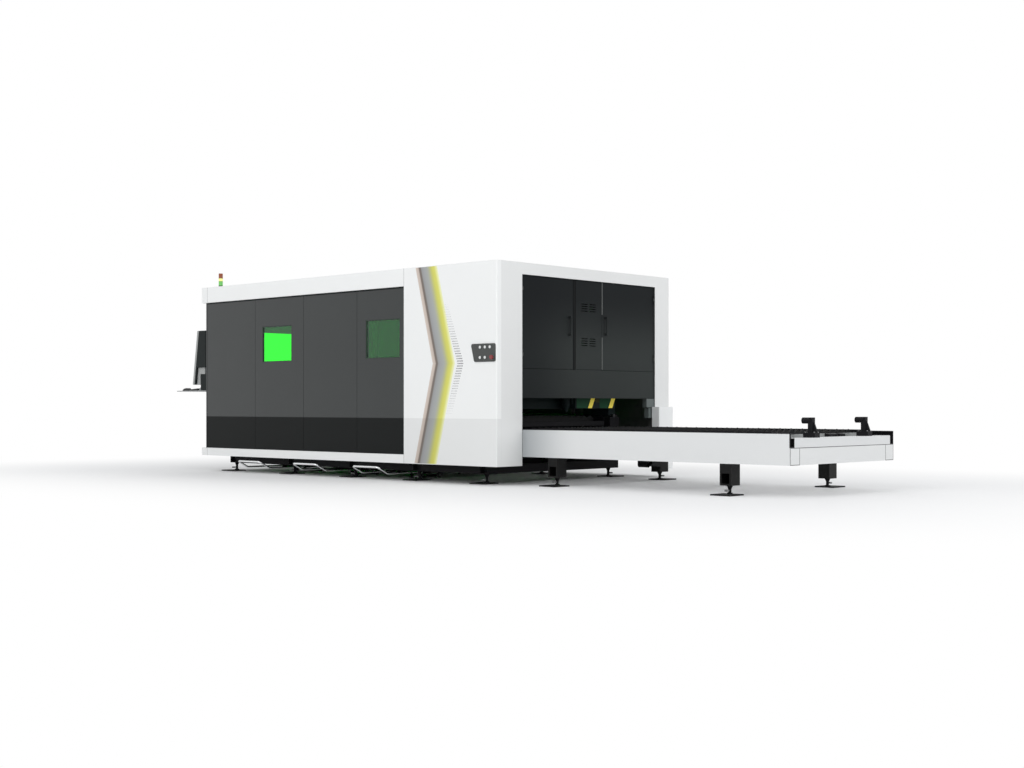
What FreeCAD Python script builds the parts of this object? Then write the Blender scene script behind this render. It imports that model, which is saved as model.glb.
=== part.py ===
import FreeCAD, Part
import math
import os
import re
import Sketcher

# Enclosed fiber laser cutting machine with an exchange table, in millimetres, +Z up.
#
# Places are written from the near bottom corner of the white front portal: x runs along the
# machine (0 at the portal's front face, the table on the plus side, the enclosure on the minus
# side), y across it (0 at the long side that faces the viewer) and z up from the floor.
# ORIGIN_X and ORIGIN_Y then move everything so that the middle of the whole stands at x = y = 0.

SIZES = [
    # Enclosure: white frame rails, dark cladding, white front portal.
    ("enclosure_length", 4920), ("enclosure_width", 2770), ("enclosure_height", 2200),
    ("skirt_bottom", 188), ("skirt_top", 278), ("top_rail_height", 183), ("rail_depth", 80),
    ("post_size", 60), ("panel_setback", 35), ("panel_thickness", 25), ("rear_setback", 40),
    ("post_face_setback", 38), ("seam_gap", 2), ("roof_thickness", 25), ("roof_drop", 10),
    ("portal_length", 1327), ("portal_wall", 40), ("portal_front_depth", 90),
    ("portal_corner_radius", 12), ("near_column", 366), ("far_column", 256), ("header_height", 117),
    # Cladding bays along each long side, counted from the rear, with the posts between them.
    ("rear_bay", 883), ("rear_post", 65), ("rear_window_bay", 767), ("middle_post", 120),
    ("middle_bay", 846), ("front_post", 66),
    ("window_width", 536), ("window_height", 408), ("window_bottom", 1283), ("window_shift", 24),
    ("pane_thickness", 8), ("pane_setback", 44), ("rear_window_width", 600),
    ("rear_window_start", 840), ("rear_bay_split", 744), ("rear_door_width", 800),
    # Wall with doors inside the portal, above the slot for the pallets.
    ("door_setback", 15), ("door_thickness", 40), ("door_gap", 4), ("slot_top", 860),
    ("hinge_radius", 7), ("hinge_pin", 4), ("hinge_offset", 8), ("knuckle_height", 30),
    ("knuckle_gap", 1), ("hinge_inset", 90), ("hinge_web", 4),
    ("door_bottom", 1152), ("centre_panel_start", 1156), ("centre_panel_width", 449),
    ("vent_width", 100), ("vent_slot", 9), ("vent_pitch", 24), ("vent_inset", 129),
    ("vent_spacing", 130), ("upper_vent_bottom", 1760), ("lower_vent_bottom", 1402),
    ("handle_bar", 18), ("handle_stand_off", 34), ("handle_foot", 24), ("handle_inset", 65),
    ("door_handle_length", 200), ("left_handle_bottom", 1500), ("right_handle_bottom", 1520),
    ("latch_width", 135), ("latch_bottom", 649), ("latch_top", 857), ("latch_slot_bottom", 756),
    ("latch_slot", 8), ("latch_depth", 60), ("latch_setback", 10), ("latch_step", 34),
    ("cover_overhang", 53), ("cover_width", 250), ("cover_depth", 100), ("cover_bottom", 90),
    ("cover_top", 769), ("cover_radius", 10),
    # Bed: base beams on levelling feet, side boxes, brackets to the enclosure, gantry rails.
    ("pallet_centre", 1260), ("bed_rear", 4660), ("bed_front", 337), ("base_bottom", 100),
    ("base_height", 88), ("base_beam_width", 140), ("foot_row", 300), ("cross_beam_width", 120),
    ("cross_beam_shift", 25), ("cross_beam_reach", 71), ("beam_wall", 10), ("beam_mouth", 50),
    ("bracket_bottom", 200), ("bracket_height", 48), ("side_box_width", 160),
    ("side_box_top", 660), ("front_foot", 422), ("foot_pitch_a", 985), ("foot_pitch_b", 1025),
    ("foot_pitch_c", 1072), ("foot_pitch_d", 1120),
    ("foot_plate", 210), ("foot_plate_thickness", 12), ("foot_offset", 45), ("foot_stud", 28),
    ("foot_cone", 56), ("foot_cone_height", 32), ("foot_hub", 50), ("foot_hub_height", 10),
    ("gantry_rail_width", 35), ("gantry_rail_height", 30), ("gantry_rail_rear", 4500),
    ("gantry_rail_front", 345), ("rack_width", 20), ("rack_height", 16), ("rack_space", 12),
    # Tracks: one channel on each side, in the machine and on the table.
    ("track_height", 121), ("track_width", 63), ("track_wall", 8), ("track_front", 20),
    ("machine_track_rear", 3520),
    # Exchange table.
    ("table_length", 3060), ("table_near", 368), ("fascia_thickness", 4), ("fascia_start", 2),
    ("fascia_end", 8), ("fascia_top", 545), ("tube_size", 150), ("tube_bottom", 278),
    ("tube_wall", 8), ("end_beam_depth", 120), ("end_beam_height", 80), ("cross_tube_height", 60),
    ("cross_tube_width", 100), ("middle_tube_place", 1450), ("leg_length", 120),
    ("leg_width", 136), ("leg_bottom", 86), ("leg_wall", 10), ("first_leg", 395),
    ("last_leg", 2405), ("notch_bottom", 102), ("notch_top", 192), ("notch_margin", 8),
    ("stop_spread", 455), ("stop_base_height", 52), ("stop_width", 80), ("stop_base_length", 118),
    ("stop_post_length", 46), ("stop_post_width", 44), ("stop_height", 174), ("buffer_radius", 27),
    ("buffer_length", 62), ("buffer_drop", 30), ("stop_gusset", 8),
    ("shaft_place", 60), ("shaft_radius", 20), ("sprocket_radius", 72), ("sprocket_thickness", 12),
    ("sprocket_space", 40), ("running_clearance", 0.05),
    # Two exchange pallets that run on the same tracks, one above the other.
    ("pallet_length", 3050), ("pallet_end", 240), ("pallet_travel", 3180),
    ("pallet_side_clearance", 10), ("pallet_member", 50), ("pallet_below_axle", 28),
    ("slat_height", 60), ("slat_thickness", 6), ("slat_pitch", 125), ("tooth_pitch", 100),
    ("tooth_depth", 26), ("tooth_flat", 12), ("slat_end_gap", 7), ("edge_plate", 6), ("edge_drop", 4),
    ("pallet_wheel_radius", 45), ("pallet_wheel_width", 34), ("wheel_seat_gap", 0.3),
    ("axle_radius", 15), ("axle_inset", 350), ("wheel_side_gap", 6),
    # Gantry, carriage and cutting head.
    ("gantry_place", 560), ("gantry_travel", 3600), ("shoe_length", 360), ("shoe_width", 110),
    ("shoe_groove_gap", 0.3), ("shoe_skirt", 12), ("beam_bottom", 750), ("beam_height", 230),
    ("beam_depth", 260), ("beam_chamfer", 60), ("beam_end", 237),
    ("beam_rail_height", 22), ("beam_rail_width", 30), ("beam_rail_inset", 42),
    ("carriage_start", 1450), ("carriage_width", 660), ("carriage_depth", 170),
    ("carriage_bottom", 755), ("carriage_top", 1150), ("carriage_chamfer", 70),
    ("carriage_gap", 0.4), ("head_width", 110), ("head_plate", 18), ("head_plate_bottom", 800),
    ("head_plate_top", 1100), ("head_gap", 0.4), ("head_radius", 42), ("head_bottom", 780),
    ("head_height", 270), ("nozzle_tip", 712), ("nozzle_radius", 6), ("head_offset", 52),
    # Operator's console on the rear end.
    ("console_start", 150), ("console_width", 520), ("pivot_reach", 85), ("pivot_pin", 15),
    ("hub_radius", 40), ("arm_bottom", 1170), ("arm_top", 1250), ("arm_neck_width", 90),
    ("lug_thickness", 30), ("lug_gap", 3), ("arm_side_inset", 20), ("arm_body_start", 180),
    ("arm_drop_bottom", 1040), ("arm_drop_length", 72), ("arm_face_gap", 3),
    ("housing_top", 1700), ("housing_back", 140), ("housing_face_top", 303),
    ("housing_face_bottom", 400), ("housing_panel", 48), ("screen_margin", 50),
    ("screen_bottom", 1330), ("screen_top", 1640), ("screen_thickness", 6),
    ("box_back", 140), ("box_front", 270), ("box_bottom", 968), ("tray_reach", 775),
    ("tray_thickness", 10), ("keyboard_depth", 185), ("keyboard_width", 440),
    ("keyboard_height", 24), ("keyboard_space", 100), ("mouse_length", 104), ("mouse_width", 62),
    ("mouse_height", 34), ("mouse_space", 76), ("mouse_inset", 70), ("wall_plate", 12),
    # Push buttons on the portal.
    ("plate_right", 12), ("plate_top_width", 334), ("plate_bottom_width", 287), ("plate_corner", 20),
    ("plate_bottom", 1212), ("plate_height", 178), ("plate_thickness", 8),
    ("button_radius", 14), ("button_proud", 5), ("button_seat", 3.8), ("button_clearance", 0.08),
    ("button_pitch", 67), ("button_right", 82), ("button_row_low", 1255),
    ("button_row_high", 1356), ("stop_button_radius", 21), ("stop_button_place", 50),
    ("stop_head_height", 16), ("stop_head_gap", 6), ("stop_stem_radius", 11),
    ("stop_stem_seat", 2.3),
    # Signal tower on the roof.
    ("tower_rear_inset", 104), ("tower_inset", 200), ("tower_base_radius", 22),
    ("tower_base_height", 44), ("lamp_radius", 25), ("lamp_height", 49),
    # Scrap carts under the bed.
    ("cart_front", 640), ("cart_length", 1140), ("cart_width", 480), ("cart_bottom", 55),
    ("cart_top", 92), ("cart_wall", 4), ("first_cart", 1890), ("cart_pitch", 1020),
    ("handle_tube", 20), ("cart_handle_width", 430), ("handle_reach", 40),
    ("handle_height", 137), ("handle_bend", 36), ("handle_seat", 66), ("handle_knee", 100),
    ("cart_wheel_radius", 26), ("cart_wheel_width", 20), ("cart_axle_radius", 6),
    ("cart_axle_inset", 200), ("cart_wheel_inset", 35), ("fork_thickness", 6),
]

# Places that several pieces share, as expressions of the sizes above.
MINUS_LENGTH = "-enclosure_length"
TRAY_TIP = "(-enclosure_length - tray_reach)"
ORIGIN_X = "((enclosure_length + tray_reach - table_length) / 2)"
ORIGIN_Y = "((handle_reach + handle_tube / 2 - enclosure_width) / 2)"
BASE_TOP = "(base_bottom + base_height)"
FAR_FACE = "enclosure_width"
TABLE_FAR = "(2 * pallet_centre - table_near)"
TUBE_TOP = "(tube_bottom + tube_size)"
TRACK_TOP = "(tube_bottom + tube_size + track_height)"
LOWER_AXLE = "(tube_bottom + tube_size + track_wall + wheel_seat_gap + pallet_wheel_radius)"
UPPER_AXLE = "(tube_bottom + tube_size + track_height + wheel_seat_gap + pallet_wheel_radius)"
TRACK_NEAR = "(table_near + fascia_thickness)"
BED_NEAR = "(table_near + fascia_thickness - side_box_width)"
PALLET_NEAR = "(table_near + fascia_thickness + track_width + pallet_side_clearance)"
OPENING_FAR = "(enclosure_width - far_column)"
OPENING_TOP = "(enclosure_height - header_height)"
TOP_RAIL_BOTTOM = "(enclosure_height - top_rail_height)"
COVER_START = "(enclosure_width - far_column - cover_overhang)"
INFILL_FRONT = "(-door_setback)"
INFILL_BACK = "(-door_setback - door_thickness)"
CENTRE_PANEL_END = "(centre_panel_start + centre_panel_width)"
CLADDING_REAR = "(rear_setback + panel_thickness + seam_gap - enclosure_length)"
RAIL_SEAT = "side_box_top"
GANTRY_BACK = "(-gantry_place - beam_depth / 2)"
GANTRY_FRONT = "(-gantry_place + beam_depth / 2)"
CARRIAGE_BACK = f"({GANTRY_FRONT} + beam_rail_height + carriage_gap)"
PIVOT_X = "(-enclosure_length - pivot_reach)"
CONSOLE_MIDDLE = "(console_start + console_width / 2)"

ALIASES = [name for name, _ in SIZES]

doc = FreeCAD.newDocument("FiberLaserCutter")


def make_sheet():
    """The driving sizes, one row each: the name beside its plain number."""
    sheet = doc.addObject("Spreadsheet::Sheet", "Sizes")
    for row, (name, value) in enumerate(SIZES, start=1):
        sheet.set(f"A{row}", name)
        sheet.set(f"B{row}", str(value))
        sheet.setAlias(f"B{row}", name)
    doc.recompute()
    return sheet


sheet = make_sheet()


def linked(expression):
    """The expression with each size's name pointing at its cell."""
    return re.sub(r"\b[a-z][a-z_]*[a-z]\b",
                  lambda word: f"Sizes.{word.group()}" if word.group() in ALIASES else word.group(),
                  str(expression))


def number(expression):
    """The expression's present value."""
    return float(sheet.evalExpression(linked(expression)))


def bind(thing, **properties):
    """Tie properties to expressions; a double underscore in a name stands for a dot."""
    for name, expression in properties.items():
        thing.setExpression(name.replace("__", "."), linked(expression))
    return thing


def place(thing, x, y, z):
    """Tie the thing's place to machine coordinates, moved to the model's origin."""
    thing.setExpression("Placement.Base.x", linked(f"({x}) + {ORIGIN_X}"))
    thing.setExpression("Placement.Base.y", linked(f"({y}) + {ORIGIN_Y}"))
    thing.setExpression("Placement.Base.z", linked(z))
    return thing


def box(name, x, y, z):
    """A block that fills the spans x, y and z, each a pair of expressions, low then high."""
    block = doc.addObject("Part::Box", name)
    bind(block, Length=f"({x[1]}) - ({x[0]})", Width=f"({y[1]}) - ({y[0]})",
         Height=f"({z[1]}) - ({z[0]})")
    return place(block, x[0], y[0], z[0])


AXIS_TURNS = {
    "X": FreeCAD.Rotation(FreeCAD.Vector(0, 1, 0), 90),
    "Y": FreeCAD.Rotation(FreeCAD.Vector(1, 0, 0), -90),
    "Z": FreeCAD.Rotation(),
}


def cylinder(name, axis, radius, length, x, y, z):
    """A round bar whose first end face is centred on x, y, z and which runs along the axis."""
    bar = doc.addObject("Part::Cylinder", name)
    bar.Placement = FreeCAD.Placement(FreeCAD.Vector(), AXIS_TURNS[axis])
    bind(bar, Radius=radius, Height=length)
    return place(bar, x, y, z)


def cone(name, low_radius, high_radius, height, x, y, z):
    """An upright cone standing on x, y, z."""
    shape = doc.addObject("Part::Cone", name)
    bind(shape, Radius1=low_radius, Radius2=high_radius, Height=height)
    return place(shape, x, y, z)


def cut(name, base, tools):
    """The base with every tool taken out of it."""
    result = doc.addObject("Part::Cut", name)
    result.Base = base
    result.Tool = tools[0] if len(tools) == 1 else fuse(name + "_tools", tools)
    return result


def fuse(name, pieces):
    """The pieces joined into one solid."""
    result = doc.addObject("Part::MultiFuse", name)
    result.Shapes = pieces
    result.Refine = True
    return result


def group(name, pieces):
    """Like pieces that stay separate solids in one node."""
    result = doc.addObject("Part::Compound", name)
    result.Links = pieces
    return result


PLANE_AXES = {"XY": ("x", "y"), "XZ": ("x", "z"), "YZ": ("y", "z")}


def profile(name, plane, points, start, end):
    """A closed outline of corner points on a plane, padded from start to end across it.

    Points are pairs of expressions in machine coordinates. The body's own place is the first
    point, so the sketch's dimensions are all measured from there.
    """
    body = doc.addObject("PartDesign::Body", name)
    sketch = body.newObject("Sketcher::SketchObject", name + "_outline")
    support = [face for face in body.Origin.OriginFeatures if face.Role == plane + "_Plane"][0]
    sketch.AttachmentSupport = [(support, "")]
    sketch.MapMode = "FlatFace"
    first = points[0]
    offsets = [(f"({u}) - ({first[0]})", f"({v}) - ({first[1]})") for u, v in points]
    values = [FreeCAD.Vector(number(u), number(v), 0) for u, v in offsets]
    for index, corner in enumerate(values):
        sketch.addGeometry(Part.LineSegment(corner, values[(index + 1) % len(values)]), False)
    for index in range(len(values)):
        following = (index + 1) % len(values)
        sketch.addConstraint(Sketcher.Constraint("Coincident", index, 2, following, 1))
    for index, (offset, corner) in enumerate(zip(offsets, values)):
        for kind, expression, value in (("DistanceX", offset[0], corner.x),
                                        ("DistanceY", offset[1], corner.y)):
            made = sketch.addConstraint(Sketcher.Constraint(kind, -1, 1, index, 1, value))
            sketch.setExpression(f"Constraints[{made}]", linked(expression))
    pad = body.newObject("PartDesign::Pad", name + "_pad")
    pad.Profile = sketch
    bind(pad, Length=f"({end}) - ({start})")
    pad.Reversed = plane == "XZ"
    base = {"x": start, "y": start, "z": start}
    base[PLANE_AXES[plane][0]] = first[0]
    base[PLANE_AXES[plane][1]] = first[1]
    return place(body, base["x"], base["y"], base["z"])


def rounded(name, block, edges, radius):
    """The block with the named edges rounded."""
    result = doc.addObject("Part::Fillet", name)
    result.Base = block
    size = number(radius)
    result.Edges = [(edge, size, size) for edge in edges]
    return result


# A block's upright edges, by the corner that each stands on.
EDGE_LOW_X_LOW_Y, EDGE_LOW_X_HIGH_Y, EDGE_HIGH_X_LOW_Y, EDGE_HIGH_X_HIGH_Y = 1, 3, 5, 7


def edges_along(thing, direction):
    """The numbers of the thing's edges that run along the direction."""
    doc.recompute()
    return [index for index, edge in enumerate(thing.Shape.Edges, start=1)
            if abs(edge.tangentAt(edge.FirstParameter).dot(direction)) > 0.999]


def shaped(name, shape):
    """A piece whose shape is worked out here, in machine coordinates, from the sheet's sizes."""
    feature = doc.addObject("Part::Feature", name)
    feature.Shape = shape
    return place(feature, "0", "0", "0")


def mirrored_span(low, high):
    """The span across the table's centre line that mirrors low..high."""
    return f"2 * pallet_centre - ({high})", f"2 * pallet_centre - ({low})"


# ---------------------------------------------------------------------------------------------
# Bed, feet, tracks
# ---------------------------------------------------------------------------------------------

def foot_places():
    """The x of each row of bed feet, from the portal back."""
    place_now = "-front_foot"
    places = [place_now]
    for pitch in ("foot_pitch_a", "foot_pitch_b", "foot_pitch_c", "foot_pitch_d"):
        place_now = f"{place_now} - {pitch}"
        places.append(place_now)
    return places


def bracket_seats():
    """How far in from each long side the enclosure meets a bracket at each row of feet."""
    post = "(panel_setback + panel_thickness + post_size)"
    return ["portal_wall", post] + ["rail_depth"] * (len(foot_places()) - 2)


def make_bed():
    """Base and cross beams, a side box along each side, and brackets that carry the enclosure."""
    near_beam = ("foot_row - base_beam_width / 2", "foot_row + base_beam_width / 2")
    near_box = (BED_NEAR, TRACK_NEAR)
    near_mouth = ("foot_row - cross_beam_reach - 1", "foot_row - cross_beam_reach + beam_mouth")
    base = ("base_bottom", BASE_TOP)
    pieces = []
    mouths = []
    for side, beam, side_box in (("near", near_beam, near_box),
                                 ("far", mirrored_span(*near_beam), mirrored_span(*near_box))):
        length = ("-bed_rear", "-bed_front")
        pieces.append(box(f"{side}_base_beam", length, beam, base))
        pieces.append(box(f"{side}_side_box", length, side_box, (BASE_TOP + " - 1", "side_box_top")))
    for index, (x, seat) in enumerate(zip(foot_places(), bracket_seats()), start=1):
        middle = f"({x} + cross_beam_shift)"
        span = (f"{middle} - cross_beam_width / 2", f"{middle} + cross_beam_width / 2")
        reach = "foot_row - cross_beam_reach"
        pieces.append(box(f"cross_beam_{index}", span, (reach, f"2 * pallet_centre - ({reach})"),
                          base))
        near_bracket = (seat, f"{BED_NEAR} + 1")
        far_bracket = (f"2 * pallet_centre - {BED_NEAR} - 1", f"{FAR_FACE} - {seat}")
        for side, mouth, bracket in (("near", near_mouth, near_bracket),
                                     ("far", mirrored_span(*near_mouth), far_bracket)):
            mouths.append(box(f"{side}_mouth_{index}",
                              (f"{span[0]} + beam_wall", f"{span[1]} - beam_wall"), mouth,
                              ("base_bottom + beam_wall", f"{BASE_TOP} - beam_wall")))
            pieces.append(box(f"{side}_bracket_{index}", span, bracket,
                              ("bracket_bottom", "bracket_bottom + bracket_height")))
    return cut("bed_frame", fuse("bed_solid", pieces), mouths)


def make_foot(name, x, y, top, outward):
    """A levelling foot: plate on the floor, hub, threaded stud and a cone nut under the frame."""
    offset = f"({y}) + {outward} * foot_offset"
    half = "foot_plate / 2"
    plate = box(name + "_plate", (f"({x}) - {half}", f"({x}) + {half}"),
                (f"{offset} - {half}", f"{offset} + {half}"), ("0", "foot_plate_thickness"))
    hub = cylinder(name + "_hub", "Z", "foot_hub / 2", "foot_hub_height", x, y,
                   "foot_plate_thickness")
    stud = cylinder(name + "_stud", "Z", "foot_stud / 2", f"{top} - foot_plate_thickness", x, y,
                    "foot_plate_thickness")
    nut = cone(name + "_nut", "foot_stud / 2", "foot_cone / 2", "foot_cone_height", x, y,
               f"{top} - foot_cone_height")
    return fuse(name, [plate, hub, stud, nut])


def leg_rows():
    """Each side of the table: the legs' middle line and which way is outward."""
    near = f"({TRACK_NEAR} + leg_width / 2)"
    return (("near", near, -1), ("far", f"(2 * pallet_centre - {near})", 1))


def make_feet():
    """Ten feet under the bed and four under the table."""
    feet = []
    for index, x in enumerate(foot_places(), start=1):
        feet.append(make_foot(f"near_foot_{index}", x, "foot_row", "base_bottom", -1))
        feet.append(make_foot(f"far_foot_{index}", x, "2 * pallet_centre - foot_row",
                              "base_bottom", 1))
    for side, row, outward in leg_rows():
        for end in ("first_leg", "last_leg"):
            feet.append(make_foot(f"{side}_{end}_foot", end, row, "leg_bottom", outward))
    return group("leveling_feet", feet)


def make_channel(name, near, span):
    """A channel on edge with its open side towards the pallets."""
    if near:
        web = TRACK_NEAR
        inward = "+"
    else:
        web = f"(2 * pallet_centre - {TRACK_NEAR})"
        inward = "-"
    lip = f"{web} {inward} track_width"
    inner = f"{web} {inward} track_wall"
    low = TUBE_TOP
    outline = [(web, low), (lip, low), (lip, f"{low} + track_wall"),
               (inner, f"{low} + track_wall"), (inner, f"{TRACK_TOP} - track_wall"),
               (lip, f"{TRACK_TOP} - track_wall"), (lip, TRACK_TOP), (web, TRACK_TOP)]
    return profile(name, "YZ", outline, *span)


def make_tracks():
    """Four lengths of channel: two in the machine, two on the table."""
    machine = ("-machine_track_rear", "-track_front")
    table = ("track_front", "table_length")
    return group("tracks", [make_channel("machine_track_near", True, machine),
                            make_channel("machine_track_far", False, machine),
                            make_channel("table_track_near", True, table),
                            make_channel("table_track_far", False, table)])


# ---------------------------------------------------------------------------------------------
# Enclosure
# ---------------------------------------------------------------------------------------------

def make_enclosure_frame():
    """White top and bottom rails round three sides, with corner posts behind the cladding."""
    pieces = []
    rail_front = "-portal_length"
    for level, z in (("bottom", ("skirt_bottom", "skirt_top")),
                     ("top", (TOP_RAIL_BOTTOM, "enclosure_height"))):
        pieces.append(box(f"near_{level}_rail", (MINUS_LENGTH, rail_front), ("0", "rail_depth"), z))
        pieces.append(box(f"far_{level}_rail", (MINUS_LENGTH, rail_front),
                          (f"{FAR_FACE} - rail_depth", FAR_FACE), z))
        pieces.append(box(f"rear_{level}_rail", (MINUS_LENGTH, f"{MINUS_LENGTH} + rail_depth"),
                          ("0", FAR_FACE), z))
    rear_post = (f"{CLADDING_REAR} + seam_gap", f"{CLADDING_REAR} + seam_gap + post_size")
    front_post = (f"{rail_front} - post_size", rail_front)
    near_post = ("panel_setback + panel_thickness", "panel_setback + panel_thickness + post_size")
    far_post = (f"{FAR_FACE} - panel_setback - panel_thickness - post_size",
                f"{FAR_FACE} - panel_setback - panel_thickness")
    for name, x, y in (("near_rear", rear_post, near_post), ("far_rear", rear_post, far_post),
                       ("near_front", front_post, near_post), ("far_front", front_post, far_post)):
        pieces.append(box(f"{name}_post", x, y, ("skirt_bottom", "enclosure_height - roof_drop"
                                                 " - roof_thickness")))
    return fuse("enclosure_frame", pieces)


def bay_spans():
    """The x span of each cladding bay and of each post between bays, from the rear."""
    spans = {}
    start = CLADDING_REAR
    for name, width in (("bay_1", "rear_bay"), ("post_1", "rear_post"),
                        ("bay_2", "rear_window_bay"), ("post_2", "middle_post"),
                        ("bay_3", "middle_bay"), ("post_3", "front_post")):
        end = f"{start} + {width}"
        spans[name] = (start, end)
        start = end
    spans["bay_4"] = (start, "-portal_length")
    return spans


WINDOW_BAYS = ("bay_2", "bay_4")


def window_span(bay):
    """The x span of a bay's window."""
    low, high = bay_spans()[bay]
    middle = f"(({low}) + ({high})) / 2 + window_shift"
    return f"{middle} - window_width / 2", f"{middle} + window_width / 2"


WINDOW_HEIGHTS = ("window_bottom", "window_bottom + window_height")


def side_span(near, setback, thickness):
    """The y span of a sheet set back from the near or the far face."""
    if near:
        return setback, f"{setback} + {thickness}"
    return f"{FAR_FACE} - {setback} - {thickness}", f"{FAR_FACE} - {setback}"


def make_side_panels(side, near):
    """Four cladding panels and the three posts between them, on one long side."""
    heights = ("skirt_top", TOP_RAIL_BOTTOM)
    depth = side_span(near, "panel_setback", "panel_thickness")
    post_depth = side_span(near, "post_face_setback", "panel_thickness")
    pieces = []
    for name, (low, high) in bay_spans().items():
        if name.startswith("post"):
            pieces.append(box(f"{side}_{name}", (low, high), post_depth, heights))
            continue
        sheet_metal = box(f"{side}_{name}_sheet", (f"{low} + seam_gap", high), depth, heights)
        if name in WINDOW_BAYS:
            hole = box(f"{side}_{name}_window_hole", window_span(name),
                       (f"{depth[0]} - 1", f"{depth[1]} + 1"), WINDOW_HEIGHTS)
            sheet_metal = cut(f"{side}_{name}", sheet_metal, [hole])
        pieces.append(sheet_metal)
    return group(f"{side}_panels", pieces)


def rear_span():
    """The x span of the rear cladding."""
    return f"{MINUS_LENGTH} + rear_setback", f"{MINUS_LENGTH} + rear_setback + panel_thickness"


def make_rear_panels():
    """Rear wall: a plain panel each side of a wider one that holds the window."""
    heights = ("skirt_top", TOP_RAIL_BOTTOM)
    half = "seam_gap / 2"
    last = f"{FAR_FACE} - panel_setback"
    door_end = "rear_bay_split + rear_door_width"
    first = box("rear_panel_near", rear_span(), ("panel_setback", f"rear_bay_split - {half}"), heights)
    middle = box("rear_panel_middle_sheet", rear_span(),
                 (f"rear_bay_split + {half}", f"{door_end} - {half}"), heights)
    back, front = rear_span()
    hole = box("rear_window_hole", (f"{back} - 1", f"{front} + 1"),
               ("rear_window_start", "rear_window_start + rear_window_width"), WINDOW_HEIGHTS)
    far = box("rear_panel_far", rear_span(), (f"{door_end} + {half}", last), heights)
    return group("rear_panels", [first, cut("rear_panel_middle", middle, [hole]), far])


def make_windows():
    """Five laser-safe panes, each in its panel's hole."""
    panes = []
    for side, near in (("near", True), ("far", False)):
        for bay in WINDOW_BAYS:
            panes.append(box(f"{side}_{bay}_pane", window_span(bay),
                             side_span(near, "pane_setback", "pane_thickness"), WINDOW_HEIGHTS))
    setback = f"{MINUS_LENGTH} + rear_setback + pane_thickness"
    panes.append(box("rear_pane", (setback, f"{setback} + pane_thickness"),
                     ("rear_window_start", "rear_window_start + rear_window_width"),
                     WINDOW_HEIGHTS))
    return group("windows", panes)


def make_roof():
    """Roof sheet that lies between the rails, with shallow stiffening ribs along it."""
    top = "enclosure_height - roof_drop"
    plate = box("roof_sheet", (f"{MINUS_LENGTH} + rail_depth", "-portal_length"),
                ("rail_depth", f"{FAR_FACE} - rail_depth"),
                (f"{top} - roof_thickness", top))
    ribs = []
    for index in range(1, 4):
        middle = f"enclosure_width * {index} / 4"
        ribs.append(box(f"roof_rib_{index}", (f"{MINUS_LENGTH} + 2 * rail_depth",
                                              "-portal_length - rail_depth"),
                        (f"{middle} - rail_depth / 2", f"{middle} + rail_depth / 2"),
                        (f"{top} - 1", "enclosure_height - seam_gap")))
    return fuse("roof", [plate] + ribs)


# ---------------------------------------------------------------------------------------------
# Wall inside the portal: doors, fixed panel, latch, drive cover
# ---------------------------------------------------------------------------------------------

DOOR_TOP = f"{OPENING_TOP} - door_gap"
DOOR_LOW = "door_bottom + door_gap"


def make_handle(name, y, bottom, length):
    """A bow handle that stands off a door on two feet, its bar upright."""
    half = "handle_bar / 2"
    front = f"{INFILL_FRONT} + handle_stand_off"
    across = (f"{y} - {half}", f"{y} + {half}")
    bar = box(name + "_bar", (f"{front} - handle_bar / 2", front), across,
              (bottom, f"{bottom} + {length}"))
    reach = (INFILL_FRONT, front)
    low = box(name + "_low_foot", reach, across, (bottom, f"{bottom} + handle_foot"))
    high = box(name + "_high_foot", reach, across,
               (f"{bottom} + {length} - handle_foot", f"{bottom} + {length}"))
    return [bar, low, high]


HINGE_X = f"({INFILL_FRONT} + hinge_offset)"
HINGE_LENGTH = "(3 * knuckle_height + 2 * knuckle_gap)"
HINGE_BOTTOMS = {"low": f"({DOOR_LOW} + hinge_inset)",
                 "high": f"({DOOR_TOP} - hinge_inset - {HINGE_LENGTH})"}


def door_knuckles(side, y):
    """The door's half of its two hinges: outer knuckles, webs to the leaf and the pins."""
    pieces = []
    for level, bottom in HINGE_BOTTOMS.items():
        name = f"{side}_{level}_hinge"
        pieces.append(cylinder(name + "_pin", "Z", "hinge_pin", HINGE_LENGTH, HINGE_X, y, bottom))
        for index, z in enumerate((bottom, f"{bottom} + 2 * (knuckle_height + knuckle_gap)")):
            pieces.append(cylinder(f"{name}_knuckle_{index}", "Z", "hinge_radius", "knuckle_height",
                                   HINGE_X, y, z))
            pieces.append(box(f"{name}_web_{index}", (f"{INFILL_FRONT} - 1", HINGE_X),
                              (f"{y} - hinge_web", f"{y} + hinge_web"), (z, f"{z} + knuckle_height")))
    return pieces


def frame_knuckles(side, y, jamb):
    """The portal's half of the hinges: a middle knuckle on a tab from the jamb, and its bore."""
    solids = []
    bores = []
    span = (jamb, y) if side == "left" else (y, jamb)
    for level, bottom in HINGE_BOTTOMS.items():
        name = f"{side}_{level}_frame"
        z = f"{bottom} + knuckle_height + knuckle_gap"
        solids.append(cylinder(name + "_knuckle", "Z", "hinge_radius", "knuckle_height", HINGE_X,
                               y, z))
        solids.append(box(name + "_tab", (f"{HINGE_X} - hinge_web / 2", f"{HINGE_X} + hinge_web / 2"),
                          span, (z, f"{z} + knuckle_height")))
        bores.append(cylinder(name + "_bore", "Z", "hinge_pin + running_clearance",
                              "knuckle_height + 2", HINGE_X, y, f"{z} - 1"))
    return solids, bores


LEFT_HINGE_Y = "(near_column + door_gap + hinge_offset)"
RIGHT_HINGE_Y = f"({OPENING_FAR} - door_gap - hinge_offset)"


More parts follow.
